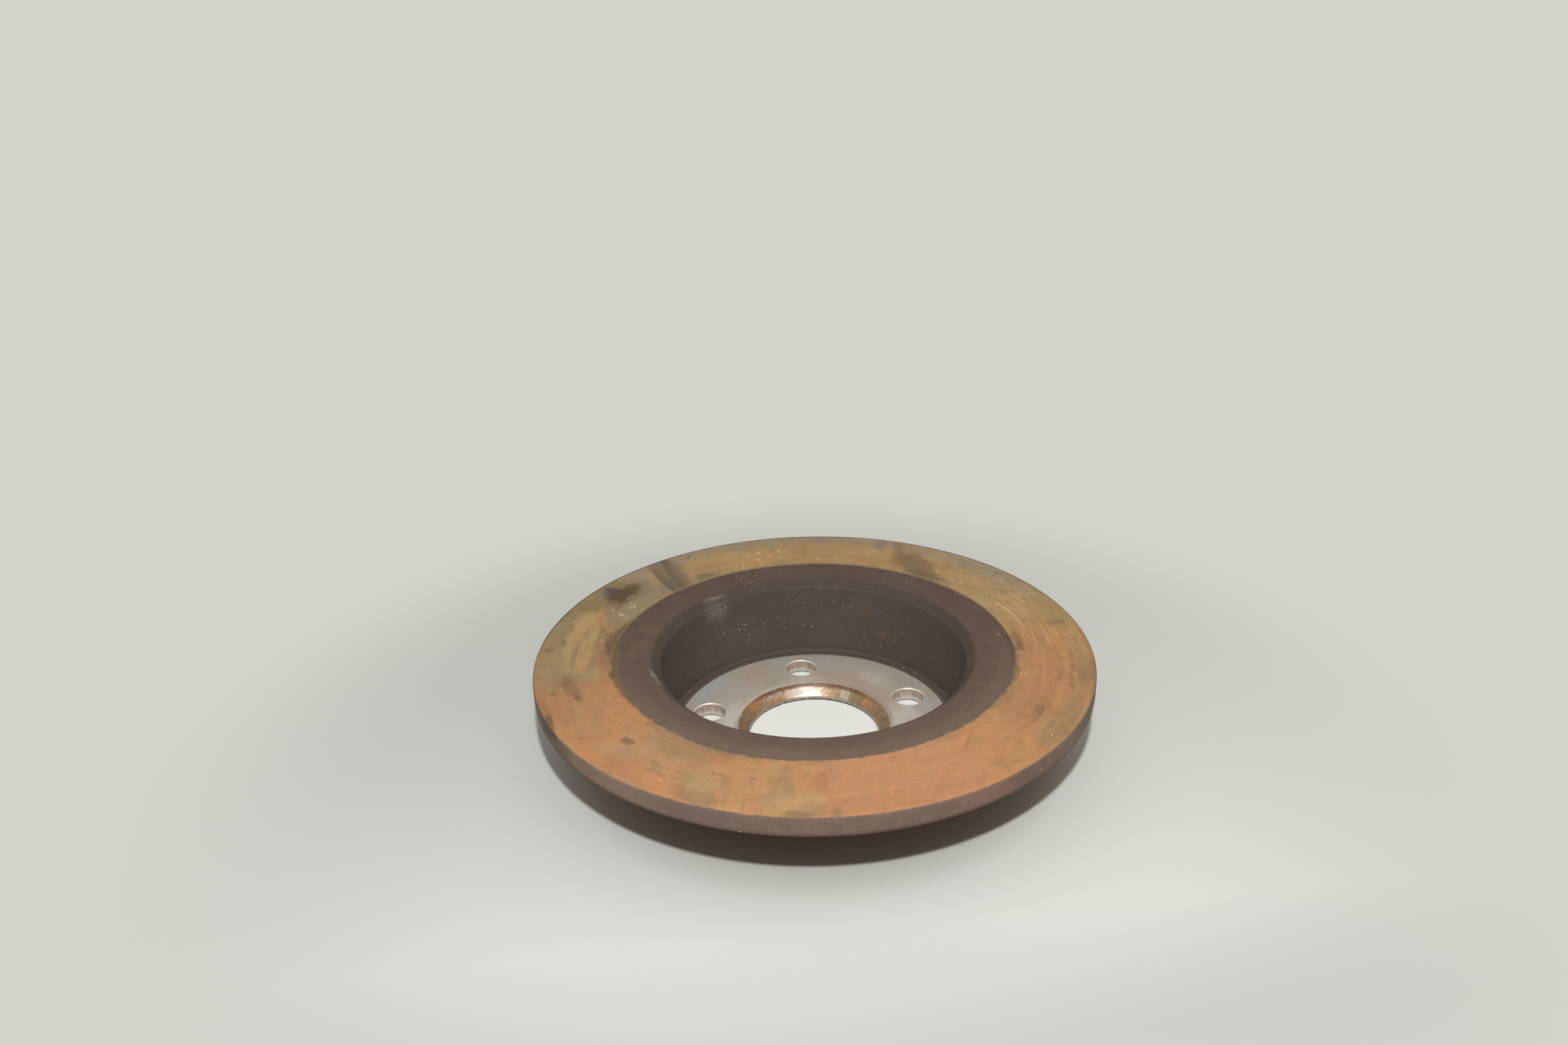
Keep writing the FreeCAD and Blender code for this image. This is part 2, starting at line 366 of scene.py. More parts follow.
# Rust clouds: soft blotches a few centimetres across, finer mottling, and a fine grain.
rust_clouds, given, result = new_group(
    "rust_clouds", [("Blotch Size", "Float", 22.0), ("Seed", "Float", 0.0)],
    [("Clouds", "Float"), ("Mottle", "Float"), ("Grain", "Float"), ("Wander", "Vector")])
tree = rust_clouds
moved = vector_node(tree, "ADD", place_in_mm(tree), given["Seed"])
sized = vector_node(tree, "DIVIDE", moved, given["Blotch Size"])
mottle = soft_noise(tree, sized, 4.5, 3.0, 0.55)
for fac, start, end, output in ((soft_noise(tree, sized)["Fac"], 0.32, 0.68, "Clouds"),
                                (mottle["Fac"], 0.32, 0.68, "Mottle"),
                                (soft_noise(tree, moved, 0.9, 2.0)["Fac"], 0.25, 0.75, "Grain")):
    tree.links.new(ramp(tree, fac, start, end), result[output])
tree.links.new(vector_node(tree, "SUBTRACT", mottle["Color"], (0.5, 0.5, 0.5)), result["Wander"])

# Turned lines: the fine rings that the lathe tool, and later the brake pads, leave round the axis.
turned_lines, given, result = new_group(
    "turned_lines", [("Line Width", "Float", 1.0), ("Streak Length", "Float", 40.0)],
    [("Lines", "Float")])
tree = turned_lines
level = vector_node(tree, "MULTIPLY", place_in_mm(tree), (1, 1, 0))
radius = vector_node(tree, "LENGTH", level)
lines_out = math_node(tree, "DIVIDE", radius, given["Line Width"])
across = add_node(tree, "ShaderNodeCombineXYZ", {"Z": lines_out}).outputs[0]
streaks_round = math_node(tree, "DIVIDE", radius, given["Streak Length"])
along = scaled(tree, vector_node(tree, "NORMALIZE", level), streaks_round)
rings = soft_noise(tree, vector_node(tree, "ADD", along, across), roughness=0.6)
tree.links.new(ramp(tree, rings["Fac"], 0.3, 0.7), result["Lines"])

# Round place: where a spot lies round the axis, as its bearing (clockwise from the back, looking
# down on the ring), its radius and its height, in radians and mm, and how far back and right.
round_place, given, result = new_group(
    "round_place", [], [("Place", "Vector"), ("Radius", "Float"), ("Height", "Float"),
                        ("Back", "Float"), ("Right", "Float")])
tree = round_place
place = place_in_mm(tree)
split = parts_of(tree, place)
bearing = math_node(tree, "ARCTAN2", split["X"], split["Y"])
radius = vector_node(tree, "LENGTH", vector_node(tree, "MULTIPLY", place, (1, 1, 0)))
round_axis = add_node(tree, "ShaderNodeCombineXYZ", {0: bearing, 1: radius, 2: split["Z"]})
for value, output in ((round_axis.outputs[0], "Place"), (radius, "Radius"), (split["Z"], "Height"),
                      (split["Y"], "Back"), (split["X"], "Right")):
    tree.links.new(value, result[output])

# Placed mark: one stain, streak, chip or rub mark, at its own bearing, radius and height, so
# large along the ring, outwards and upwards, leaning one way or the other.
placed_mark, given, result = new_group(
    "placed_mark",
    [("Place", "Vector", (0, 0, 0)), ("Wander", "Vector", (0, 0, 0)), ("Bearing", "Float", 0.0),
     ("Radius", "Float", 100.0), ("Height", "Float", 0.0), ("Half Size", "Vector", (5, 5, 1000)),
     ("Lean", "Float", 0.0), ("Raggedness", "Float", 6.0), ("Edge", "Float", 0.4),
     ("Strength", "Float", 1.0)],
    [("Mask", "Float")])
tree = placed_mark
split = parts_of(tree, given["Place"])
past = math_node(tree, "SUBTRACT", split["X"], given["Bearing"])
along = times(tree, math_node(tree, "WRAP", past, math.pi, -math.pi), given["Radius"])
out = math_node(tree, "SUBTRACT", split["Y"], given["Radius"])
up = math_node(tree, "SUBTRACT", split["Z"], given["Height"])
off = add_node(tree, "ShaderNodeCombineXYZ", {0: along, 1: out, 2: up}).outputs[0]
ragged_off = vector_node(tree, "ADD", off, scaled(tree, given["Wander"], given["Raggedness"]))
leaning = add_node(tree, "ShaderNodeVectorRotate", {"Vector": ragged_off, "Angle": given["Lean"]},
                   rotation_type="Z_AXIS").outputs[0]
share = vector_node(tree, "LENGTH", vector_node(tree, "DIVIDE", leaning, given["Half Size"]))
mask = ramp(tree, share, math_node(tree, "ADD", 1.0, given["Edge"]),
            math_node(tree, "SUBTRACT", 1.0, given["Edge"]))
tree.links.new(times(tree, mask, given["Strength"]), result["Mask"])

# Flaky patches: islands of rust with crisp, ragged edges, where one layer lies over another.
flaky_patches, given, result = new_group(
    "flaky_patches", [("Patch Size", "Float", 12.0), ("Share", "Float", 0.4),
                      ("Edge", "Float", 0.03), ("Seed", "Float", 0.0)], [("Mask", "Float")])
tree = flaky_patches
moved = vector_node(tree, "ADD", place_in_mm(tree), given["Seed"])
layers = soft_noise(tree, vector_node(tree, "DIVIDE", moved, given["Patch Size"]), 1.0, 4.0, 0.55, 0.6)
cut = math_node(tree, "SUBTRACT", 1.0, given["Share"])
tree.links.new(ramp(tree, layers["Fac"], math_node(tree, "SUBTRACT", cut, given["Edge"]),
                    math_node(tree, "ADD", cut, given["Edge"])), result["Mask"])

# Dust, and painted glints in the bore: tiny pale flecks, scattered thinly.
dust_and_glint_flecks, given, result = new_group(
    "dust_and_glint_flecks", [("Spacing", "Float", 3.0), ("Share", "Float", 0.1), ("Fleck Size", "Float", 0.12)],
    [("Mask", "Float")])
tree = dust_and_glint_flecks
spaced = vector_node(tree, "DIVIDE", place_in_mm(tree), given["Spacing"])
cells = add_node(tree, "ShaderNodeTexVoronoi", {"Vector": spaced, "Scale": 1.0}).outputs
chance = parts_of(tree, cells["Color"])
chosen = math_node(tree, "LESS_THAN", chance["X"], given["Share"])
size = times(tree, given["Fleck Size"], math_node(tree, "ADD", chance["Y"], 0.45))
near = ramp(tree, cells["Distance"], size, times(tree, size, 0.4))
tree.links.new(times(tree, chosen, near), result["Mask"])


def start_finish(name, roughness, metallic=0.0, specular=0.5):
    """A new material; returns it with its node tree, its shader and where a spot lies on it."""
    finish = bpy.data.materials.new(name)
    finish.use_nodes = True
    shader = finish.node_tree.nodes["Principled BSDF"]
    shader.inputs["Roughness"].default_value = roughness
    shader.inputs["Metallic"].default_value = metallic
    shader.inputs["Specular IOR Level"].default_value = specular
    return finish, finish.node_tree, shader, fill_group(finish.node_tree, round_place, {})


def clouds_on(tree, blotch_size, seed):
    """Rust clouds with blotches of this size in mm."""
    return fill_group(tree, rust_clouds, {"Blotch Size": blotch_size, "Seed": seed})


def lines_on(tree, line_width, streak_length):
    """Turned lines, in mm."""
    return fill_group(tree, turned_lines, {"Line Width": line_width,
                                           "Streak Length": streak_length})["Lines"]


def flecks_on(tree, spacing, share, size):
    """Dust flecks, and painted glints in the bore: their spacing in mm, the share of places with one,
    and their size.
    """
    return fill_group(tree, dust_and_glint_flecks, {"Spacing": spacing, "Share": share,
                                          "Fleck Size": size})["Mask"]


def tint_over(tree, colour, tint, share, amount):
    """Lays a tint over a colour: as much as the share times the amount."""
    return blend(tree, times(tree, share, amount), colour, tint)


def mark(tree, spot, wander, bearing, radius, half_round, half_out, lean=0, edge=0.4, strength=1.0,
         ragged=6.0, height=0.0, half_up=1000.0):
    """The mask of one placed mark: bearing and lean in degrees, edge and strength as shares, and
    the rest in mm."""
    return fill_group(tree, placed_mark, {
        "Place": spot["Place"], "Wander": wander, "Bearing": math.radians(bearing), "Radius": radius,
        "Height": height, "Half Size": (half_round, half_out, half_up), "Lean": math.radians(-lean),
        "Raggedness": ragged, "Edge": edge, "Strength": strength})["Mask"]


# How far round the ring a mark may reach: so many half lengths, and so many mm for its ragged
# edge. A long mark across the ring counts as no more than so many mm long.
SOFT_REACH = 1.6
RAGGED_REACH = 8
LONGEST_ACROSS = 30
QUARTER = 90


def lay_marks(tree, colour, spot, wander, marks, middle=None):
    """Lays placed marks over a colour, in order; each is a tint and then what mark() takes. With
    a middle bearing, only those that reach the quarter of the ring round it."""
    for tint, *where in marks:
        bearing, radius, half_round, half_out = where[:4]
        half_length = max(half_round, min(half_out, LONGEST_ACROSS))
        reach = math.degrees((SOFT_REACH * half_length + RAGGED_REACH) / radius)
        if middle is None or abs((bearing - middle + 180) % 360 - 180) < QUARTER / 2 + reach:
            colour = blend(tree, mark(tree, spot, wander, *where), colour, tint)
    return colour


def shade(tree, colour, amount, low, high):
    """Darkens and lightens a colour between two factors."""
    return scaled(tree, colour, ramp(tree, amount, 0.0, 1.0, low, high, way="LINEAR"))


def relief(tree, shader, height, depth):
    """Small unevenness of the surface, depth in mm."""
    bump = add_node(tree, "ShaderNodeBump", {"Height": height, "Distance": depth * MM, "Strength": 1.0})
    tree.links.new(bump.outputs["Normal"], shader.inputs["Normal"])


# Friction ring, inboard side: swept by the pad out to the rim and rusted since. Orange in front,
# golden and olive behind, partly the rust's own tint and partly painted light falling from the
# front; grey towards the far rim, with rubbed, splashed and greasy patches. Inside the step the
# iron was never swept and is dark brown.
orange_rust = as_seen(176, 126, 87)
pink_rust = as_seen(177, 126, 93)
bright_rust = as_seen(188, 128, 76)
tan_rust = as_seen(164, 133, 97)
golden_rust = as_seen(179, 147, 101)
gold_orange = as_seen(186, 142, 84)
yellow_rust = as_seen(165, 139, 98)
olive_rust = as_seen(138, 117, 84)
brown_film = as_seen(138, 110, 84)
grey_film = as_seen(147, 130, 102)
violet_film = as_seen(134, 114, 101)
grey_rust = as_seen(155, 137, 112)
red_rust = as_seen(158, 111, 78)
deep_red = as_seen(112, 79, 61)
dark_scale = as_seen(80, 62, 50)
umber_scale = as_seen(116, 94, 67)
umber_dark = as_seen(92, 73, 52)
smudge_violet = as_seen(88, 72, 66)
dark_olive = as_seen(108, 97, 78)
tan_film = as_seen(158, 137, 106)
pale_film_and_step_highlight = as_seen(166, 147, 112)
pale_fleck = as_seen(226, 208, 172)
unswept_brown = as_seen(92, 75, 66)
unswept_grey = as_seen(104, 87, 75)
mouth_brown = as_seen(79, 67, 59)
rub_pale = as_seen(138, 130, 119)
rim_brown = as_seen(106, 89, 79)
rim_pink = as_seen(113, 92, 84)
far_rim_painted_shade = as_seen(100, 82, 70)
rim_low = as_seen(92, 68, 56)

# Marks round the ring, clockwise from the back: tint, bearing, radius, half length round the ring,
# half width outwards, lean, softness of the edge, strength and, where it differs, raggedness.
RING_MARKS = (
    # behind: orange strokes by the step, pale nicks, a violet tinge at the rim
    (gold_orange, -12.6, 102.5, 9, 6, -8, 0.6, 0.55),
    (pale_fleck, -15.2, 101.5, 0.4, 2.6, -14, 0.6, 0.35, 1),
    (red_rust, -16.2, 100.5, 0.5, 3, -14, 0.6, 0.50, 1),
    (pale_fleck, -8.6, 113.8, 0.7, 1.8, 0, 0.6, 0.50, 2),
    (pale_fleck, -8.1, 114.8, 0.4, 1.5, -8, 0.6, 0.45, 1),
    (pale_fleck, -12, 113, 0.35, 2.2, 0, 0.7, 0.35, 1),
    (pale_fleck, -2.6, 115.2, 0.5, 2.3, -6, 0.6, 0.55, 1),
    (pale_fleck, -5.4, 109.6, 0.6, 1.0, 0, 0.5, 0.60, 1),
    (pale_fleck, -2.1, 106.5, 0.3, 2.0, -6, 0.7, 0.40, 1),
    (pale_fleck, -9.3, 106.5, 0.8, 1.2, 0, 0.7, 0.35, 1),
    (pale_fleck, 8.8, 101, 0.5, 1.8, 0, 0.6, 0.45, 1),
    (bright_rust, 2.5, 102, 1.2, 2.5, 0, 0.6, 0.40, 2),
    (violet_film, 9.5, 128, 3, 4, 0, 0.6, 0.50),
    (violet_film, 25.5, 126, 4, 5, 0, 0.6, 0.45),
    (red_rust, 5.5, 126.5, 4, 3, 0, 0.7, 0.35),
    (dark_olive, 20, 115.5, 2.0, 0.6, 0, 0.6, 0.35, 2),
    (violet_film, -21.5, 101, 4, 4, 0, 0.6, 0.35),
    (grey_film, -25.5, 100, 3, 4, 0, 0.5, 0.50),
    # right and behind: a diagonal greasy band, grey film towards the rim
    (grey_rust, 50, 128, 42, 7.5, 0, 0.6, 0.45),
    (grey_rust, 60, 124.5, 21, 7.5, 0, 0.7, 0.50),
    (umber_scale, 30.8, 124, 2.8, 11, 22, 0.6, 0.40),
    (umber_scale, 34.5, 117, 6, 6, 30, 0.6, 0.15),
    (brown_film, 33.4, 110, 4.6, 8, 22, 0.5, 0.50),
    (umber_scale, 40.1, 107, 8.5, 20, 47, 0.35, 0.58),
    (brown_film, 42, 107.5, 5, 12, 46, 0.5, 0.45),
    (umber_scale, 46.5, 99.8, 12, 3.8, 0, 0.4, 0.60),
    (dark_olive, 39.4, 106, 5, 14, 40, 0.5, 0.36),
    (red_rust, 41.5, 113.5, 3, 9, 44, 0.6, 0.25),
    (red_rust, 33.5, 108, 2.6, 9, 20, 0.6, 0.20),
    (deep_red, 49.3, 99.5, 3.5, 1.6, -10, 0.5, 0.45),
    (violet_film, 52.5, 98.7, 5, 2.2, 20, 0.6, 0.60),
    (dark_olive, 59.6, 124.5, 0.5, 7, 26, 0.6, 0.45, 2),
    (dark_olive, 65.2, 128, 1.2, 4.5, 0, 0.7, 0.35),
    (pale_fleck, 62.8, 123.4, 0.8, 0.8, 0, 0.6, 0.40, 2),
    (pale_fleck, 63.8, 130, 0.5, 0.7, 0, 0.5, 0.50, 2),
    (dark_olive, 67, 115.8, 5, 1.0, 0, 0.6, 0.35),
    (umber_scale, 73.7, 120.6, 2.2, 0.8, -20, 0.6, 0.40),
    (pale_fleck, 46.8, 108.3, 0.8, 0.5, 40, 0.5, 0.80, 1),
    (bright_rust, 54.2, 111.5, 1.0, 3, 42, 0.7, 0.25, 2),
    (pale_fleck, 52, 116.4, 0.35, 1.4, 32, 0.6, 0.50, 1),
    (pale_fleck, 50.4, 112, 0.8, 0.5, 40, 0.6, 0.40, 1),
    (deep_red, 54.2, 115.2, 2.2, 0.5, 0, 0.5, 0.45, 1),
    (pale_fleck, 55, 114.3, 1.2, 0.4, 0, 0.6, 0.40, 1),
    (pale_fleck, 56.5, 106, 0.4, 1.8, 42, 0.6, 0.40, 1),
    (pale_fleck, 58, 113, 0.35, 1.6, 42, 0.6, 0.40, 1),
    (red_rust, 54.5, 106, 0.5, 4, 50, 0.7, 0.40, 2),
    (red_rust, 64, 101.5, 3, 2, 0, 0.6, 0.30),
    # right: arcs worn by the pad, an olive outer band, splashes
    (pale_film_and_step_highlight, 67, 98.5, 22, 1.6, 0, 0.6, 0.45),
    (olive_rust, 82, 126, 20, 7, 0, 0.45, 0.50),
    (tan_rust, 84, 118, 12, 4, 0, 0.6, 0.35),
    (bright_rust, 92, 112, 14, 16, 0, 0.7, 0.22),
    (umber_scale, 86.9, 123.5, 0.7, 4.2, 8, 0.5, 0.60, 2),
    (umber_scale, 86.1, 128.5, 0.5, 2, 12, 0.6, 0.35, 1),
    (red_rust, 78, 117, 0.5, 2.2, 48, 0.6, 0.50, 1),
    (pale_fleck, 75, 105.6, 5.5, 0.45, 2, 0.6, 0.50, 1.5),
    (pale_fleck, 82, 106.3, 12, 0.45, 1, 0.7, 0.35, 1.5),
    (pale_fleck, 94, 108.6, 9, 0.45, -2, 0.8, 0.18, 1.5),
    (umber_scale, 96, 109.8, 11, 0.5, -2, 0.8, 0.35, 1.5),
    (olive_rust, 86.5, 113.6, 6, 0.9, 0, 0.6, 0.45, 2),
    (pale_fleck, 93, 115.0, 11, 0.5, 0, 0.8, 0.18, 1.5),
    (yellow_rust, 100, 128, 18, 4.5, 0, 0.4, 0.50),
    (olive_rust, 113, 127.5, 24, 5.2, 0, 0.4, 0.42),
    (umber_scale, 95.5, 127.5, 6, 1.2, 0, 0.6, 0.30),
    (bright_rust, 104, 120.2, 15, 1.5, 0, 0.7, 0.35, 2),
    (umber_scale, 106, 123, 12, 0.7, 0, 0.8, 0.20, 2),
    (deep_red, 100.5, 116.6, 6, 0.6, 3, 0.7, 0.35, 2),
    (umber_scale, 112.3, 117.5, 5, 1.2, 0, 0.5, 0.45, 2),
    (red_rust, 117, 117, 9, 0.6, 0, 0.7, 0.50, 2),
    (umber_scale, 111.3, 128.2, 4.2, 3.6, 0, 0.8, 0.25),
    (golden_rust, 116, 127.5, 1.2, 3.6, -16, 0.7, 0.35),
    (golden_rust, 111.3, 124.8, 2.6, 0.8, 0, 0.7, 0.35),
    (umber_scale, 115.6, 123, 0.8, 3.5, -30, 0.6, 0.40, 2),
    (orange_rust, 106, 112, 20, 8, 0, 0.7, 0.60),
    (umber_scale, 104, 132.6, 36, 1.6, 0, 0.5, 0.35),
    (umber_scale, 93.8, 99.4, 7, 2.6, 0, 0.5, 0.60),
    (deep_red, 98.6, 99.3, 4.0, 2.4, 0, 0.5, 0.60),
    (umber_scale, 103, 97.8, 6, 1.2, 0, 0.5, 0.45),
    (umber_scale, 113, 98, 10, 1.4, 0, 0.4, 0.60),
    (golden_rust, 113.3, 100.4, 4, 0.6, 0, 0.5, 0.80, 1),
    (golden_rust, 113, 102.6, 3, 0.5, 0, 0.5, 0.60, 1),
    # right and front: reddish clouds and an olive outer band
    (red_rust, 123.5, 109, 13, 8.5, 0, 0.5, 0.42),
    (deep_red, 127.6, 115, 4.5, 2.3, 10, 0.5, 0.35),
    (olive_rust, 131, 127.5, 19, 6.5, 0, 0.35, 0.60),
    (yellow_rust, 131.5, 121.5, 9, 1.0, 4, 0.5, 0.50, 2),
    (pink_rust, 131, 118.8, 9, 0.9, 0, 0.5, 0.60, 2),
    (umber_scale, 129, 116.9, 8, 0.8, -4, 0.6, 0.40, 2),
    (dark_olive, 142.3, 120.3, 3.6, 0.8, 0, 0.5, 0.35, 2),
    (yellow_rust, 135.5, 113.5, 5, 0.8, 15, 0.6, 0.50, 2),
    (yellow_rust, 142, 112.8, 4, 0.8, 0, 0.6, 0.45, 2),
    (orange_rust, 146, 107, 24, 10, 0, 0.7, 0.60),
    (umber_scale, 148.5, 104.5, 0.9, 9, -56, 0.6, 0.28, 2),
    (umber_scale, 155, 127.5, 0.8, 3.5, -35, 0.6, 0.40, 2),
    (umber_scale, 146.5, 128.5, 1.6, 1.4, 0, 0.6, 0.35),
    (red_rust, 160, 126.5, 13, 5.5, 0, 0.5, 0.62),
    (olive_rust, 162.5, 111, 1.0, 9, -20, 0.7, 0.25, 2),
    (olive_rust, 153, 98.5, 9, 1.8, 0, 0.8, 0.25),
    (olive_rust, 126, 98.6, 13, 1.8, 0, 0.5, 0.60),
    # front: smooth pinkish orange, ending in a sharp edge beside greenish strokes
    (pink_rust, 168, 114, 33, 24, 0, 0.15, 0.60, 4),
    (red_rust, 176, 128, 28, 6, 0, 0.7, 0.40),
    (red_rust, 185.8, 110.5, 3, 7, 4, 0.4, 0.60, 4),
    (pink_rust, 186, 121.5, 2.6, 3.8, 0, 0.4, 0.80, 4),
    (pink_rust, 187, 102, 5, 2.8, 0, 0.5, 0.60),
    (yellow_rust, 190.5, 124, 11, 9, 0, 0.35, 0.50),
    (olive_rust, 187, 129, 5.5, 4, 0, 0.45, 0.50),
    (olive_rust, 193.8, 110, 5.0, 11, 0, 0.4, 0.50, 4),
    (olive_rust, 191.5, 118, 2, 4, 0, 0.5, 0.40),
    (yellow_rust, 196.5, 104, 3, 7, 0, 0.5, 0.35),
    (umber_scale, 189.8, 131.8, 5.5, 2.6, 0, 0.6, 0.65, 4),
    (umber_scale, 183.4, 131, 2.2, 3.5, 0, 0.7, 0.45, 3),
    (yellow_rust, 200.5, 127, 0.8, 5, 10, 0.6, 0.40, 2),
    (umber_scale, 203, 127.5, 0.8, 5, 10, 0.8, 0.25, 4),
    (grey_rust, 207.5, 129, 8.5, 5, 0, 0.3, 0.30, 4),
    (umber_scale, 207.5, 129, 8.5, 4.6, 0, 0.35, 0.40, 4),
    (olive_rust, 209, 119, 12, 6, 0, 0.6, 0.35),
    (yellow_rust, 209.5, 118, 8, 7, 0, 0.4, 0.50),
    (olive_rust, 212, 122, 1.6, 9, 15, 0.5, 0.35, 3),
    (olive_rust, 195.5, 127, 5, 7, 0, 0.7, 0.25),
    (umber_scale, 212, 128, 2.5, 6, 15, 0.7, 0.25, 4),
    (umber_scale, 199.8, 111, 1.4, 0.9, 0, 0.5, 0.40, 2),
    (umber_scale, 206.9, 111.5, 0.9, 0.9, 0, 0.5, 0.50, 2),
    (umber_scale, 208.4, 111.5, 0.9, 0.9, 0, 0.5, 0.50, 2),
    (red_rust, 208.3, 101, 4.5, 2.6, 0, 0.5, 0.50),
    (umber_scale, 210.5, 97.6, 5, 1.6, 0, 0.5, 0.60),
    # front and left: rubbed, flecked orange
    (red_rust, 217, 111, 12, 5.5, -4, 0.5, 0.20),
    (tan_rust, 223, 111, 14, 7, 0, 0.5, 0.50),
    (brown_film, 219, 102.5, 16, 6, 0, 0.5, 0.35),
    (brown_film, 217, 97.0, 26, 2.4, 0, 0.8, 0.70),
    (olive_rust, 221, 104, 13, 5, 0, 0.5, 0.35),
    (bright_rust, 218.5, 127.5, 9, 5.5, 0, 0.45, 0.25),
    (pink_rust, 218.5, 128, 4, 3.5, 0, 0.5, 0.35),
    (deep_red, 217.5, 121.7, 3.5, 1.0, -8, 0.6, 0.30, 4),
    (umber_scale, 214.8, 117.2, 3, 0.8, -8, 0.5, 0.40, 2),
    (pale_film_and_step_highlight, 219.5, 118.6, 5, 0.9, -10, 0.6, 0.40, 5),
    (umber_scale, 221, 116.8, 4, 1.0, -10, 0.6, 0.30, 5),
    (umber_scale, 220.2, 119.8, 0.7, 1.6, 30, 0.5, 0.35, 1),
    (red_rust, 227, 127.5, 7, 5.5, 0, 0.45, 0.50),
    (grey_film, 228.3, 118.5, 4.4, 3.4, 0, 0.8, 0.55, 9),
    (deep_red, 231.4, 112.8, 3.6, 1.9, 4, 0.35, 0.90, 5),
    (tan_rust, 229, 108, 9, 9, 0, 0.7, 0.35),
    (olive_rust, 230, 99, 6, 1.4, -10, 0.5, 0.50),
    (bright_rust, 234, 130.5, 10, 2, 0, 0.5, 0.35),
    (tan_rust, -127, 121, 5, 4, 0, 0.6, 0.40),
    (bright_rust, -123.3, 99, 2.4, 1.8, 0, 0.5, 0.50),
    (bright_rust, -115.5, 100, 2.4, 1.8, 0, 0.6, 0.35),
    (deep_red, -121, 126.3, 1.1, 0.8, 30, 0.4, 0.60, 2),
    (red_rust, -108, 126.5, 20, 6, 0, 0.6, 0.50),
    (umber_dark, -112.5, 132.6, 6.5, 2.0, -8, 0.5, 0.75, 4),
    (umber_scale, -107, 132.5, 9, 2.0, 0, 0.6, 0.45),
    (olive_rust, -100.5, 126, 5, 8, 0, 0.7, 0.50),
    (umber_scale, -102.4, 125.5, 1.2, 1.2, 0, 0.5, 0.60, 2),
    # left: olive field with golden strokes, brown by the step
    (umber_scale, -101.3, 117.3, 11.5, 3.0, 9, 0.4, 0.60, 5),
    (tan_rust, -92, 119, 9, 4, 0, 0.7, 0.40),
    (deep_red, -106, 115.4, 3.2, 1.4, 25, 0.6, 0.40, 3),
    (umber_scale, -96.5, 124.5, 7, 4.5, 0, 0.6, 0.25),
    (tan_rust, -90, 128, 22, 7.0, 0, 0.6, 0.50),
    (golden_rust, -95.5, 105, 5.5, 7, 0, 0.4, 0.45),
    (red_rust, -93, 101, 16, 3, 0, 0.6, 0.45),
    (golden_rust, -79, 115, 31, 7.5, 5, 0.2, 0.62),
    (olive_rust, -86, 115.6, 13, 1.6, 0, 0.35, 0.75, 3),
    (olive_rust, -75, 114.5, 5, 1.6, 15, 0.4, 0.60, 3),
    (bright_rust, -90.8, 111.6, 6.5, 2.0, -8, 0.5, 0.35, 3),
    (bright_rust, -84.8, 109.6, 2.6, 1.2, 0, 0.4, 0.45, 2),
    (bright_rust, -81.2, 109.6, 2.2, 1.0, 0, 0.4, 0.50, 2),
    (umber_scale, -82, 111.3, 2.0, 0.7, 20, 0.5, 0.40, 2),
    (golden_rust, -72, 110.5, 6, 1.6, 20, 0.4, 0.40, 3),
    (umber_scale, -71, 108.8, 4, 1.2, 25, 0.5, 0.45, 3),
    (violet_film, -91, 107.3, 12, 1.5, 0, 0.6, 0.40, 3),
    (grey_rust, -83.5, 106.3, 5, 0.9, 6, 0.5, 0.50, 3),
    (red_rust, -84, 104.3, 14, 1.8, 2, 0.4, 0.60, 4),
    (bright_rust, -79, 104.8, 3, 1.0, 0, 0.5, 0.45, 2),
    (umber_scale, -79.5, 99.3, 19, 3.6, -1, 0.4, 0.75),
    (dark_scale, -82, 98.8, 10, 2.0, 0, 0.5, 0.30),
    (red_rust, -90, 100.5, 6, 2.5, 0, 0.7, 0.40),
    (violet_film, -85, 101.8, 5, 1.2, 0, 0.6, 0.50, 3),
    (dark_scale, -81.5, 100.5, 5, 1.2, 15, 0.5, 0.45, 3),
    (dark_scale, -72, 97.8, 12, 1.4, 0, 0.5, 0.40, 3),
    (deep_red, -98, 97.8, 8, 1.0, 0, 0.5, 0.50, 3),
    (red_rust, -104, 130, 12, 2.5, -5, 0.5, 0.40),
    (umber_scale, -83.4, 128.8, 2.2, 2.4, 0, 0.5, 0.50, 3),
    (dark_scale, -79.8, 123.4, 2.6, 0.9, 8, 0.5, 0.40, 2),
    (grey_film, -72, 130, 10, 4, 0, 0.5, 0.50),
    (golden_rust, -69, 120.5, 12, 5, 8, 0.25, 0.60),
    (bright_rust, -73, 118, 7, 2.5, 10, 0.6, 0.22),
    (bright_rust, -66, 112.5, 2.0, 8, -58, 0.7, 0.50, 3),
    (bright_rust, -70.5, 106.8, 1.8, 8, -60, 0.7, 0.35, 3),
    (tan_rust, -66, 108, 9, 5, -30, 0.7, 0.65),
    (bright_rust, -63.6, 116.5, 2.2, 3, -40, 0.6, 0.25, 3),
    (umber_scale, -68, 96.6, 22, 1.8, 0, 0.5, 0.60, 3),
    (umber_dark, -97, 95.8, 27, 1.9, 0, 0.5, 0.75, 4),
    # left and behind: grey film with a greasy smudge, then rubbed dark stripes
    (umber_scale, -62, 125, 6, 5, 0, 0.6, 0.25),
    (bright_rust, -57.5, 132, 2.5, 2.5, 0, 0.5, 0.50),
    (grey_film, -54, 104.5, 27, 9, 0, 0.3, 0.85),
    (violet_film, -57.5, 114.5, 4, 4, 0, 0.6, 0.60),
    (umber_scale, -57, 114.5, 5.5, 4.5, -10, 0.7, 0.50, 4),
    (violet_film, -54.6, 125, 4.5, 4.5, 0, 0.4, 0.70, 4),
    (dark_scale, -53.6, 122, 4.5, 5, 0, 0.6, 0.30, 5),
    (dark_scale, -52.4, 118.3, 9.6, 6.0, 0, 0.4, 0.85, 7),
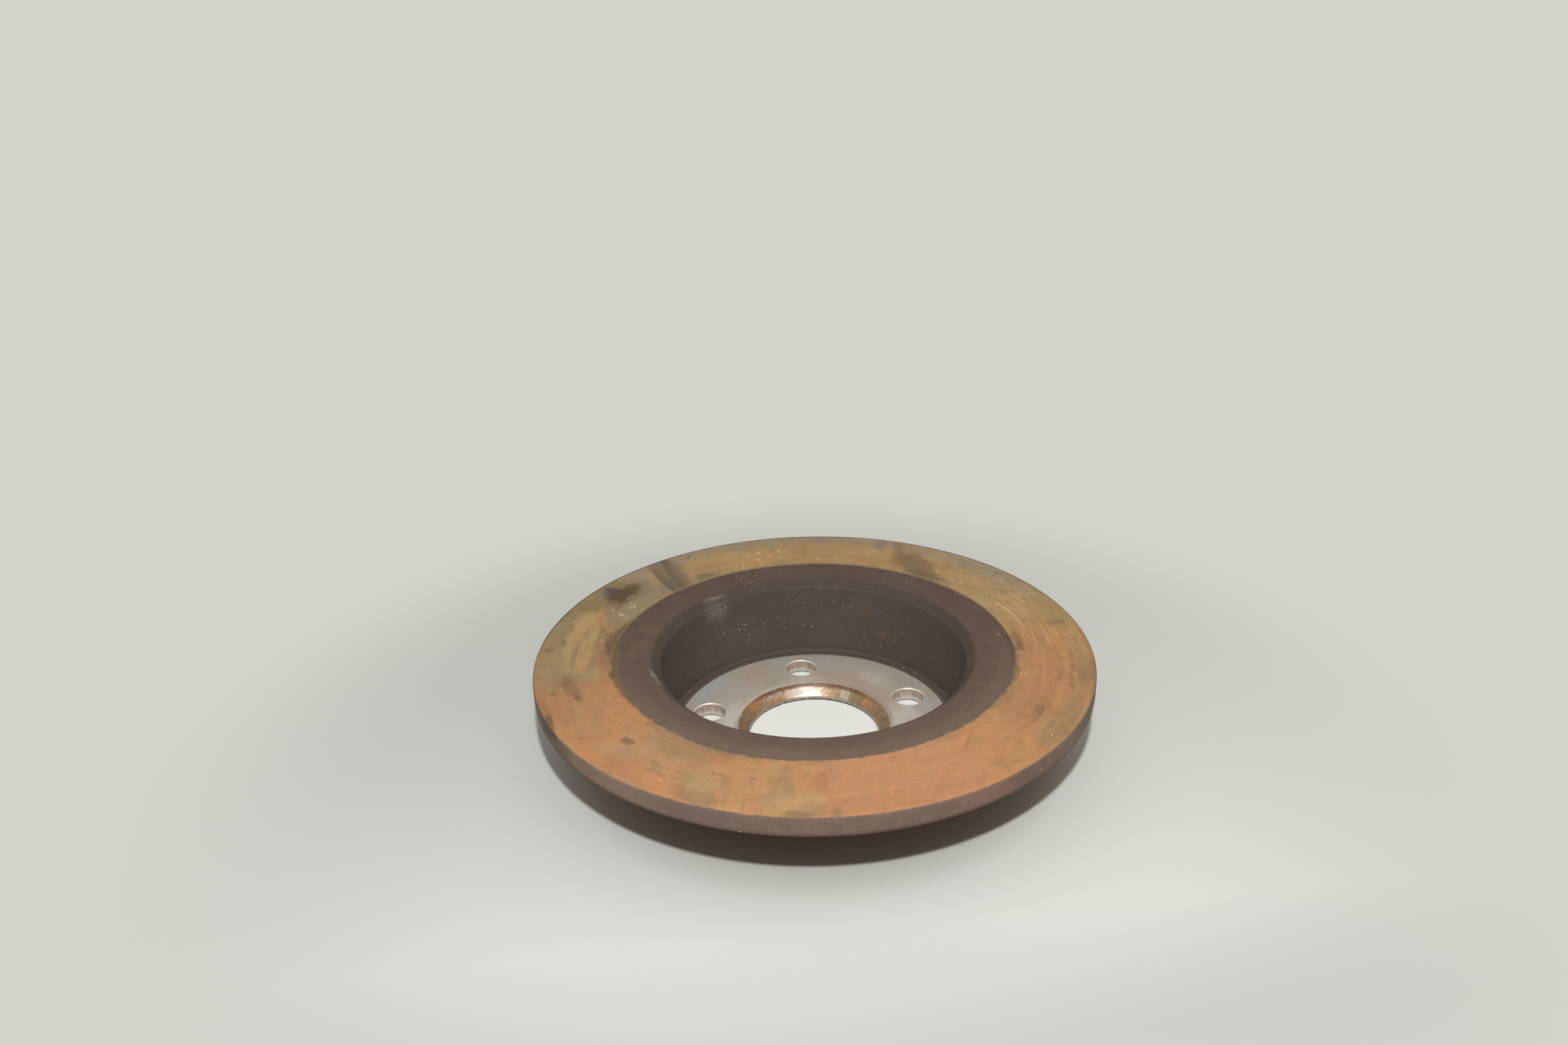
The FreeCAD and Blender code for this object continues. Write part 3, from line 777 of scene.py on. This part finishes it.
    (umber_scale, -46.5, 115, 7, 8, 0, 0.8, 0.30),
    (umber_scale, -52.5, 110.3, 9, 2.2, -10, 0.7, 0.50, 4),
    (smudge_violet, -52.2, 125.3, 4.2, 5.2, 6, 0.5, 0.85, 4),
    (dark_scale, -54.9, 113.2, 4.0, 2.2, 0, 0.5, 0.75, 4),
    (violet_film, -53.4, 111.6, 3, 1.8, 0, 0.4, 0.90, 2),
    (dark_scale, -55.2, 110.8, 0.9, 0.8, 0, 0.3, 0.95, 1),
    (umber_scale, -59.3, 110.4, 8, 1.0, 2, 0.6, 0.65, 2),
    (pale_fleck, -62.9, 105, 0.8, 1.1, 0, 0.4, 0.80, 2),
    (pale_fleck, -58, 105, 0.5, 1.1, 25, 0.5, 0.60, 1),
    (pale_fleck, -57, 103.6, 1.4, 0.5, 20, 0.5, 0.70, 1),
    (pale_fleck, -55.6, 107.8, 1.0, 0.5, 20, 0.5, 0.30, 2),
    (pale_fleck, -61.5, 111.3, 1.2, 0.6, 20, 0.5, 0.40, 2),
    (pale_fleck, -63, 102.5, 0.8, 0.5, 0, 0.5, 0.35, 2),
    (pale_fleck, -57.7, 98.2, 1.0, 0.6, 0, 0.5, 0.35, 2),
    (tan_film, -44, 118, 9, 10, -10, 0.5, 0.60),
    (violet_film, -44.8, 117, 4.5, 9, 0, 0.8, 0.45),
    (umber_dark, -50.0, 118.0, 8.4, 5.6, 8, 0.5, 0.80, 5),
    (violet_film, -44.3, 101, 3.2, 8, -22, 0.6, 0.50, 3),
    (dark_olive, -37.2, 114, 6.6, 40, -19.5, 0.15, 0.72, 3),
    (dark_scale, -39.7, 112, 1.6, 30, -19.5, 0.6, 0.30, 3),
    (dark_scale, -36, 114, 1.6, 30, -19.5, 0.5, 0.40, 3),
    (grey_film, -37, 130, 6, 5, -19.5, 0.6, 0.35, 3),
    (violet_film, -33.2, 113, 3.0, 22, -19.5, 0.6, 0.75, 3),
    (umber_scale, -34.2, 113, 2.6, 20, -19.5, 0.7, 0.40, 3),
    (grey_film, -31.5, 100, 5, 4.5, 0, 0.5, 0.45),
    (dark_olive, -39.2, 101.5, 5.2, 8, -19, 0.5, 0.62, 3),
    (umber_scale, -35.3, 101, 3.5, 6, -19, 0.7, 0.45, 3),
    (grey_rust, -28.5, 128, 5, 6, 0, 0.4, 0.75),
    (dark_olive, -26.6, 127.5, 0.8, 3.6, -30, 0.6, 0.50, 2),
    (olive_rust, -28.5, 99.5, 8, 3.6, 0, 0.5, 0.65),
    (dark_olive, -29.3, 99.6, 5.5, 3.6, 0, 0.7, 0.50))
UNSWEPT_MARKS = (
    (umber_scale, -78.5, 85, 3.0, 5, -12, 0.9, 0.30),
    (umber_scale, -69.5, 85, 3.0, 6, -8, 0.9, 0.35),
    (umber_scale, -85, 87, 5, 2.0, 0, 0.9, 0.25),
    (rub_pale, -102.5, 78.4, 6.5, 1.1, 9, 0.7, 0.60),
    (unswept_grey, -80, 83, 3.5, 1.6, 0, 0.6, 0.70, 5),
    (unswept_grey, -84.8, 87.2, 1.6, 1.4, 0, 0.7, 0.45, 5),
    (unswept_grey, -69.5, 84, 1.6, 5, -6, 0.7, 0.60, 5),
    (mouth_brown, -73.5, 86.5, 5, 2.2, 0, 0.6, 0.50, 5),
    (brown_film, -92, 95.8, 24, 2.0, 0, 0.5, 0.25),
    (rub_pale, -35.5, 77, 6, 1.6, 0, 0.9, 0.20, 4),
    (rub_pale, -37, 77.6, 5, 0.4, -8, 0.8, 0.35, 2),
    (rub_pale, -33, 76.8, 4, 0.4, -8, 0.8, 0.30, 2),
    (grey_rust, -42, 80.5, 0.8, 0.8, 0, 0.6, 0.30),
    (grey_rust, 43.5, 87, 1.0, 0.6, 0, 0.6, 0.30),
    (grey_rust, 90.5, 93, 1.6, 0.7, 0, 0.5, 0.50))
RIM_MARKS = (
    (orange_rust, 156, 134, 14, 50, 0, 0.6, 0.12),
    (grey_rust, 228, 134, 26, 50, 0, 0.7, 0.30),
    (grey_rust, 130, 134, 26, 50, 0, 0.7, 0.25),
    (olive_rust, 236, 134, 3.2, 50, 0, 0.5, 0.45, 3),
    (dark_olive, -108, 134, 18, 50, 0, 0.5, 0.60),
    (dark_scale, -113, 134, 9, 50, 0, 0.5, 0.60, 4, 49, 4))

# Patches of other tints over the swept rust: tint, patch size in mm, share of the face, strength
# and seed.
RUST_PATCHES = (
    (red_rust, 30.0, 0.45, 0.18, 5.0),
    (yellow_rust, 22.0, 0.48, 0.18, 12.0),
    (bright_rust, 13.0, 0.44, 0.16, 27.0),
    (umber_scale, 9.0, 0.42, 0.14, 33.0))

# Where the rust's inner edge lies further in (more than 0) or out, in mm, and over which mark.
RUST_LINE_SHIFTS = (
    (0.8, 165, 96, 34, 8, 0, 0.5),
    (0.9, -127, 96, 26, 8, 0, 0.6),
    (1.3, -95, 96, 22, 8, 0, 0.6),
    (-1.1, 110, 97, 28, 8, 0, 0.5))


def ring_finish(side, middle):
    """The ring's rust over one quarter of it, whose middle lies at this bearing."""
    finish, tree, shader, spot = start_finish("rusty_ring_" + side, 0.75, specular=0.25)
    clouds = clouds_on(tree, 24.0, 3.0)
    fine_lines = lines_on(tree, 0.8, 9.0)
    broad_lines = lines_on(tree, 3.4, 34.0)
    radius, height, back, right = (spot[name] for name in ("Radius", "Height", "Back", "Right"))
    wander = clouds["Wander"]
    wandering = parts_of(tree, wander)

    # The swept face: golden behind, orange in front, olive on the left and grey at the far rim,
    # then its marks, the arcs of the pad on the right, and mottle, specks and grain over all.
    # Partly painted light: the swept rust turns from golden behind to orange in front, partly its own
    # tint and partly the light from the front.
    front_edge = ramp(tree, right, -90, 60, -21, -38)
    back_edge = ramp(tree, right, -90, 60, -16, 22)
    wandering_back = math_node(tree, "MULTIPLY_ADD", wandering["X"], 9.0, back)
    swept = blend(tree, ramp(tree, wandering_back, back_edge, front_edge), golden_rust, orange_rust)
    swept = tint_over(tree, swept, olive_rust, clouds["Clouds"], 0.25)
    for tint, size, share, strength, seed in RUST_PATCHES:
        patches = fill_group(tree, flaky_patches, {"Patch Size": size, "Share": share, "Seed": seed})
        swept = tint_over(tree, swept, tint, patches["Mask"], strength)
    far_out = ramp(tree, math_node(tree, "MULTIPLY_ADD", wandering["Y"], 14.0, radius), 119, 128)
    swept = tint_over(tree, swept, grey_rust, times(tree, far_out, ramp(tree, back, 30, 70)), 0.9)
    left_share = mark(tree, spot, wander, -72.5, 112, 53, 60, 0, 0.08, 0.85, 9)
    swept = blend(tree, left_share, swept, olive_rust)
    swept = lay_marks(tree, swept, spot, wander, RING_MARKS, middle)
    arc_share = ramp(tree, right, 55, 100, 0.3, 1.0)
    arcs = math_node(tree, "MULTIPLY_ADD", arc_share, math_node(tree, "SUBTRACT", broad_lines, 0.5), 0.5)
    swept = shade(tree, swept, arcs, 0.91, 1.09)
    swept = shade(tree, swept, fine_lines, 0.975, 1.025)
    swept = shade(tree, swept, clouds["Mottle"], 0.96, 1.035)
    specks = clouds_on(tree, 11.0, 61.0)["Wander"]
    for drift, strength in ((wander, (0.16, 0.12, 0.20)), (specks, (0.25, 0.20, 0.31))):
        tone = vector_node(tree, "MULTIPLY_ADD", drift, strength, (1, 1, 1))
        swept = vector_node(tree, "MULTIPLY", swept, tone)
    swept = shade(tree, swept, clouds["Grain"], 0.96, 1.04)

    # The unswept band inside the step: dark brown, greyer in front, darkest round the mouth.
    greyer = times(tree, ramp(tree, radius, 82, 93), ramp(tree, back, 10, -50))
    unswept = blend(tree, greyer, unswept_brown, unswept_grey)
    unswept = blend(tree, ramp(tree, radius, 79.6, 77.6), unswept, mouth_brown)
    unswept = lay_marks(tree, unswept, spot, wander, UNSWEPT_MARKS, middle)
    unswept = shade(tree, unswept, clouds["Mottle"], 0.94, 1.06)
    unswept = shade(tree, unswept, fine_lines, 0.96, 1.04)

    # Where the rust of the swept face ends: at the step behind, creeping over it in front.
    fringe = parts_of(tree, clouds_on(tree, 20.0, 83.0)["Wander"])["X"]
    rust_line = math_node(tree, "MULTIPLY_ADD", fringe, ramp(tree, back, 0, -60, 0.0, 4.5), radius)
    for shift, *where in RUST_LINE_SHIFTS:
        rust_line = math_node(tree, "MULTIPLY_ADD", mark(tree, spot, wander, *where), shift, rust_line)
    softness = ramp(tree, back, 30, -60, 0.35, 1.2)
    rust_start = ramp(tree, rust_line, math_node(tree, "SUBTRACT", STEP_RADIUS, softness),
                      math_node(tree, "ADD", STEP_RADIUS, softness))
    thin_rust = ramp(tree, rust_line, STEP_RADIUS + 2.2, STEP_RADIUS)
    swept = tint_over(tree, swept, olive_rust, thin_rust, ramp(tree, right, -70, -30, 0, 0.45))
    colour = blend(tree, rust_start, unswept, swept)
    # Painted highlight: a pale line along the step's edge behind.
    step_highlight_line = mark(tree, spot, wander, 0, STEP_RADIUS + 0.2, 150, 0.4, 0, 0.5, 1.0, 0.8)
    colour = tint_over(tree, colour, pale_film_and_step_highlight, times(tree, step_highlight_line, ramp(tree, back, 20, 50)), 0.5)

    # The rim: pinkish brown, darker along its lower edge, its upper edge chipped on the left, and with
    # painted shade along its outer edge behind.
    rim_colour = blend(tree, clouds["Mottle"], rim_pink, rim_brown)
    rim_colour = lay_marks(tree, rim_colour, spot, wander, RIM_MARKS, middle)
    rim_colour = blend(tree, ramp(tree, height, 43.4, 41.6, 0, 0.7), rim_colour, rim_low)
    rim_colour = shade(tree, rim_colour, clouds["Grain"], 0.92, 1.08)
    chipped = mark(tree, spot, wander, -138, RING_RADIUS, 75, 20, 0, 0.3, 1.1)
    chips = math_node(tree, "ADD", chipped, 0.3)
    outer_line = math_node(tree, "MULTIPLY_ADD", wandering["Y"], chips, radius)
    on_rim = math_node(tree, "MAXIMUM", ramp(tree, outer_line, 133.1, 133.8),
                       ramp(tree, height, 49.5, 48.9))
    colour = blend(tree, times(tree, on_rim, ramp(tree, radius, 120, 125)), colour, rim_colour)
    # Painted shade: the rim's outer edge behind, facing away from the lamp, is darkened.
    far_edge_shade_mask = times(tree, ramp(tree, radius, 132.2, 133.4), ramp(tree, back, 0, 60))
    colour = blend(tree, far_edge_shade_mask, colour, far_rim_painted_shade)

    # Dust: a few flecks all over, more of them in a patch behind the mouth.
    colour = tint_over(tree, colour, pale_fleck, flecks_on(tree, 5.0, 0.10, 0.09), 0.6)
    dust_patch = mark(tree, spot, wander, -13, 87, 13, 8, 0, 0.6)
    colour = tint_over(tree, colour, pale_fleck, flecks_on(tree, 1.5, 0.40, 0.25), dust_patch)
    tree.links.new(colour, shader.inputs["Base Color"])
    tree.links.new(ramp(tree, clouds["Clouds"], 0, 1, 0.66, 0.82), shader.inputs["Roughness"])
    relief(tree, shader, math_node(tree, "MULTIPLY_ADD", fine_lines, 0.3, clouds["Grain"]), 0.04)
    return finish


ring_rust = [ring_finish(side, QUARTER * number)
             for number, side in enumerate(("back", "right", "front", "left"))]

# Outboard side of the ring: the same rust without the splashes, and without marks of its own,
# because the photograph doesn't show it.
outboard_rust, tree, shader, spot = start_finish("rusty_outboard_face", 0.78, specular=0.25)
clouds = clouds_on(tree, 28.0, 41.0)
fine_lines = lines_on(tree, 1.0, 12.0)
colour = blend(tree, clouds["Clouds"], orange_rust, olive_rust)
colour = tint_over(tree, colour, red_rust, clouds["Mottle"], 0.35)
colour = shade(tree, colour, fine_lines, 0.92, 1.06)
tree.links.new(shade(tree, colour, clouds["Grain"], 0.92, 1.06), shader.inputs["Base Color"])
relief(tree, shader, math_node(tree, "ADD", clouds["Grain"], fine_lines), 0.06)

# Cast skin: the hat's wall inside and out and the ring's neck, as they left the mould, dark
# brown with old rust and a little dust.
cast_brown = as_seen(86, 75, 70)
cast_dark = as_seen(82, 72, 65)
cast_warm = as_seen(98, 82, 69)
cast_olive = as_seen(90, 82, 72)
cast_foot = as_seen(79, 69, 60)
cast_flat = as_seen(98, 87, 77)
dust_and_glint_white = as_seen(250, 246, 236)
rub_grey = as_seen(132, 124, 110)
bump_red = as_seen(106, 82, 70)
cast_skin, tree, shader, spot = start_finish("cast_iron_skin", 0.72, specular=0.3)
clouds = clouds_on(tree, 20.0, 17.0)
colour = blend(tree, clouds["Clouds"], cast_brown, cast_dark)
colour = shade(tree, colour, clouds["Mottle"], 0.96, 1.04)
colour = lay_marks(tree, colour, spot, clouds["Wander"], (
    (rub_grey, -37, 74, 7, 3, 0, 0.9, 0.38, 5, 42, 4),
    (rub_grey, -35, 74, 0.7, 3, 0, 0.8, 0.40, 4, 38, 5),
    (rub_grey, -36.6, 74, 0.6, 3, 0, 0.8, 0.35, 4, 39, 4),
    (rub_grey, -33.6, 74, 0.6, 3, 0, 0.8, 0.30, 4, 37, 4),
    (bump_red, 38, 73, 2.8, 3, 0, 0.5, 0.65, 2, 22.5, 2.2),
    (deep_red, 38.5, 73, 0.8, 3, 0, 0.5, 0.60, 1, 21.0, 0.8),
    (bump_red, 30, 73, 1.6, 3, 0, 0.5, 0.60, 1, 18.0, 1.1),
    (bump_red, 30.5, 73, 1.2, 3, 0, 0.5, 0.50, 1, 32.0, 0.9),
    (cast_dark, 58, 73, 3, 3, 0, 0.6, 0.60, 3, 13.0, 2.5),
    (cast_foot, 0, 71, 300, 9, 0, 0.3, 0.80, 2, 6.0, 4.5),
    (cast_flat, 0, 67.4, 300, 2.1, 0, 0.4, 0.95, 1),
    (cast_olive, -32, 74, 18, 4, 0, 0.7, 0.40, 6, 24, 16),
    (cast_warm, 28, 73, 7, 4, 0, 0.7, 0.40, 6, 36, 5),
    (rub_grey, -37.5, 74, 6, 3, 0, 0.6, 0.35, 1, 44.9, 0.35),
    (rub_grey, -36, 74, 5, 3, 0, 0.6, 0.40, 1, 42.2, 0.35),
    (rub_grey, -38.4, 74, 0.6, 3, 0, 0.8, 0.35, 4, 40, 3)))
dust_share = mark(tree, spot, clouds["Wander"], -22, 74, 34, 20, 0, 0.6, 0.95, 6, 32, 16)
few_flecks = times(tree, math_node(tree, "GREATER_THAN", clouds["Clouds"], 0.75), 0.8)
colour = tint_over(tree, colour, dust_and_glint_white, flecks_on(tree, 1.7, 0.36, 0.15),
                   math_node(tree, "MAXIMUM", dust_share, few_flecks))
tree.links.new(colour, shader.inputs["Base Color"])
relief(tree, shader, math_node(tree, "ADD", clouds["Grain"], clouds["Mottle"]), 0.08)

# Turned hub plate: bare machined iron, dulled to a warm grey, inside the hat and on the wheel
# side, with a painted highlight on the rounding where the cone starts.
hub_grey = as_seen(183, 175, 165)
hub_blue = as_seen(176, 182, 184)
hub_brown = as_seen(182, 162, 144)
hub_pale_and_sheen = as_seen(210, 203, 190)
hub_pink = as_seen(186, 160, 148)
hub_olive = as_seen(168, 159, 144)
cone_edge = as_seen(146, 126, 102)
turned_hub, tree, shader, spot = start_finish("turned_hub_iron", 0.48, 0.2)
clouds = clouds_on(tree, 18.0, 29.0)
wander = clouds["Wander"]
lines = lines_on(tree, 0.35, 5.0)
colour = tint_over(tree, hub_grey, hub_brown, clouds["Clouds"], 0.35)
colour = lay_marks(tree, colour, spot, wander, (
    (hub_blue, -53, 66, 14, 8, 0, 0.6, 0.8),
    (hub_brown, -26, 56, 9, 8, 0, 0.6, 0.6),
    (hub_brown, 25, 45, 15, 8, 0, 0.6, 0.6),
    (hub_pale_and_sheen, -3, 43, 10, 4, 0, 0.6, 0.5),
    (hub_pale_and_sheen, 88, 45, 10, 7, 0, 0.6, 0.6),
    (hub_brown, 57, 57, 5, 5, 0, 0.6, 0.4),
    (hub_pink, 37, 45, 9, 2.6, 0, 0.7, 0.7),
    (hub_pink, 14, 47, 12, 3.2, 0, 0.8, 0.4),
    (hub_blue, -6, 62, 9, 2.5, 0, 0.8, 0.5),
    (hub_pale_and_sheen, 44, 53, 8, 5, 0, 0.8, 0.4),
    (hub_pink, -36, 50, 6, 4, 0, 0.8, 0.4),
    (hub_blue, 80, 60, 8, 4, 0, 0.8, 0.35),
    (hub_pale_and_sheen, -80, 43, 16, 4, 0, 0.6, 0.6),
    (hub_brown, 58, 43, 20, 5, 0, 0.7, 0.6),
    (hub_olive, -15, 44, 9, 4, 0, 0.8, 0.6),
    (hub_olive, 60, 60, 7, 5, 0, 0.8, 0.3)))
fringe = math_node(tree, "MAXIMUM", mark(tree, spot, wander, 58, 38.2, 34, 2.0, 0, 0.5, 0.8, 1.5),
                   mark(tree, spot, wander, -95, 38.2, 12, 2.0, 0, 0.5, 0.6, 1.5))
colour = blend(tree, fringe, colour, cone_edge)
# Painted highlight: a pale sheen on the rounding round the top of the cone.
colour = blend(tree, ramp(tree, spot["Radius"], 40.6, 39.2, 0, 0.2), colour, hub_pale_and_sheen)
colour = blend(tree, ramp(tree, spot["Radius"], 67.2, 68.2, 0, 0.4), colour, hub_brown)
colour = shade(tree, colour, lines, 0.94, 1.06)
tree.links.new(shade(tree, colour, clouds["Grain"], 0.94, 1.05), shader.inputs["Base Color"])
relief(tree, shader, lines, 0.02)

# Drilled holes: the drill left a browner, streaky wall and a broken edge, bright with a painted
# highlight at the top; a painted shadow darkens the foot where it sits on the board.
DRILL_STREAKS = (1300, 1300, 170)
hole_brown = as_seen(184, 168, 156)
hole_lip_highlight = as_seen(226, 221, 210)
hole_foot_shadow = as_seen(66, 58, 54)
drilled_hole, tree, shader, spot = start_finish("drilled_hole_iron", 0.42, 0.3)
height = spot["Height"]
clouds = clouds_on(tree, 5.0, 71.0)
hole_place = add_node(tree, "ShaderNodeTexCoord").outputs["Object"]
streaks = soft_noise(tree, vector_node(tree, "MULTIPLY", hole_place, DRILL_STREAKS))["Fac"]
colour = blend(tree, clouds["Clouds"], hole_brown, hub_brown)
colour = shade(tree, colour, ramp(tree, streaks, 0.35, 0.65), 0.66, 1.12)
# Painted highlight along the broken top edge.
colour = blend(tree, ramp(tree, height, 6.3, 6.8), colour, hole_lip_highlight)
colour = blend(tree, ramp(tree, height, 3.4, 1.4, 0, 0.6), colour, hub_pale_and_sheen)
# Painted shadow along the foot, where the hole meets the board.
colour = blend(tree, ramp(tree, height, 0.8, 0.6), colour, hole_foot_shadow)
tree.links.new(colour, shader.inputs["Base Color"])

# Bore: the turned cone that leads onto the hub's spigot and the short land below it, bare iron
# with a thin coppery rust that still shines. A painted highlight runs down the cone at the back,
# painted glints fleck the cone's left and the land, the land's pale band is a painted reflection
# of the board and its foot a painted shadow where it sits on the board.
copper_rust = as_seen(174, 136, 106)
orange_film = as_seen(204, 140, 90)
olive_film = as_seen(150, 132, 96)
cone_brown = as_seen(158, 130, 100)
pale_copper_and_highlight = as_seen(208, 197, 186)
land_painted_reflection = as_seen(168, 158, 148)
cone_tan = as_seen(174, 147, 116)
land_painted_shadow = as_seen(60, 60, 60)
dark_line = as_seen(110, 78, 60)
bore_rust, tree, shader, spot = start_finish("rusty_bore", 0.42, 0.6)
height = spot["Height"]
clouds = clouds_on(tree, 9.0, 53.0)
wander = clouds["Wander"]
colour = tint_over(tree, copper_rust, olive_film, clouds["Clouds"], 0.4)
colour = lay_marks(tree, colour, spot, wander, (
    (orange_film, -56, 36, 4, 3, 0, 0.5, 0.85, 3, 5.5, 1.6),
    (red_rust, -70, 36, 8, 4, 0, 0.5, 0.60, 3, 4.0, 5),
    # painted highlight: the pale patch down the cone's whole height at the back
    (pale_copper_and_highlight, -1, 35, 10, 5, 0, 0.5, 0.95, 3, 4.0, 5),
    (pale_copper_and_highlight, -30, 35, 7, 5, 0, 0.6, 0.25, 2, 4.6, 1.2),
    (orange_film, -30, 34, 14, 5, 0, 0.5, 0.25, 2, 3.2, 0.7),
    (pale_copper_and_highlight, -75, 36, 7, 5, 0, 0.6, 0.30, 3, 5.4, 2.5),
    (orange_film, -50, 37, 5, 4, 0, 0.6, 0.60, 2, 6.0, 1.2),
    (cone_tan, 24, 35, 5, 5, 0, 0.5, 0.80, 2, 4.0, 5),
    (olive_film, 32, 33.6, 5, 3, 0, 0.5, 0.70, 2, 2.8, 1.0),
    (pale_copper_and_highlight, 36, 35, 2.6, 5, 0, 0.4, 0.60, 2, 4.0, 5),
    (olive_film, 48, 35, 5, 5, 0, 0.4, 0.85, 2, 4.0, 5),
    (orange_film, 58, 35, 2.2, 5, 0, 0.5, 0.70, 2, 4.2, 1.6),
    (cone_tan, 94, 35, 14, 5, 0, 0.5, 0.75, 2, 4.0, 5),
    (cone_brown, -92, 35, 18, 5, 0, 0.5, 0.75, 2, 4.0, 5)))
# Painted reflection of the board on the land.
colour = blend(tree, ramp(tree, height, 2.3, 1.8, 0, 0.8), colour, land_painted_reflection)
# Painted shadow along the land's foot, where it sits on the board.
colour = blend(tree, ramp(tree, height, 0.9, 0.5), colour, land_painted_shadow)
line_height = math_node(tree, "MULTIPLY_ADD", parts_of(tree, wander)["Z"], 1.2, height)
colour = tint_over(tree, colour, dark_line, ramp(tree, line_height, 5.0, 5.9, 0, 0.85),
                   mark(tree, spot, wander, 5, 37.5, 34, 9, 0, 0.4))
# Painted glints: white flecks on the cone's left and on the land.
glinting = math_node(tree, "MAXIMUM", mark(tree, spot, wander, -45, 36, 22, 9, 0, 0.6, 0.7),
                     mark(tree, spot, wander, -22, 32.5, 12, 9, 0, 0.5, 1.0, 1, 1, 1.4))
colour = tint_over(tree, colour, dust_and_glint_white, flecks_on(tree, 1.5, 0.45, 0.3), glinting)
colour = shade(tree, colour, clouds["Mottle"], 0.84, 1.12)
tree.links.new(shade(tree, colour, clouds["Grain"], 0.9, 1.1), shader.inputs["Base Color"])
relief(tree, shader, clouds["Mottle"], 0.05)


def finish_at(bearing, radius, height, upward):
    """Which of the disc's finishes a face has: its bearing in degrees, its radius and height in
    mm, and how far it faces up."""
    round_bore = BORE_RADIUS - 0.5 < radius < LEAD_IN_RADIUS + 0.3
    if round_bore and height < HUB_FACE - 0.05 and abs(upward) < 0.9:
        return bore_rust
    if BOLT_CIRCLE - 9 < radius < BOLT_CIRCLE + 9 and 0.01 < height < HUB_FACE - 0.01:
        return drilled_hole
    on_wheel_side = height < 1 and radius < 77.5
    if on_wheel_side or height < HUB_FACE + 0.01 and radius < PLATE_OUTER:
        return turned_hub
    if height > 45.9 or radius > 133.2:
        return ring_rust[round(bearing / QUARTER) % 4]
    if radius > STEP_RADIUS - 0.1:
        return outboard_rust
    return cast_skin


finishes = [*ring_rust, outboard_rust, cast_skin, turned_hub, drilled_hole, bore_rust]
for face in disc_bm.faces:
    face.smooth = True
    centre = face.calc_center_median()
    bearing = math.degrees(math.atan2(centre.x, centre.y))
    finish = finish_at(bearing, centre.xy.length / MM, centre.z / MM, face.normal.z)
    face.material_index = finishes.index(finish)

disc_mesh = bpy.data.meshes.new("brake_disc_casting")
disc_bm.to_mesh(disc_mesh)
disc_bm.free()
disc_mesh.set_sharp_from_angle(angle=math.radians(25))
for finish in finishes:
    disc_mesh.materials.append(finish)
disc = bpy.data.objects.new("brake_disc_casting", disc_mesh)
scene.collection.objects.link(disc)

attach(disc, "root")
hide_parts("brake_disc")
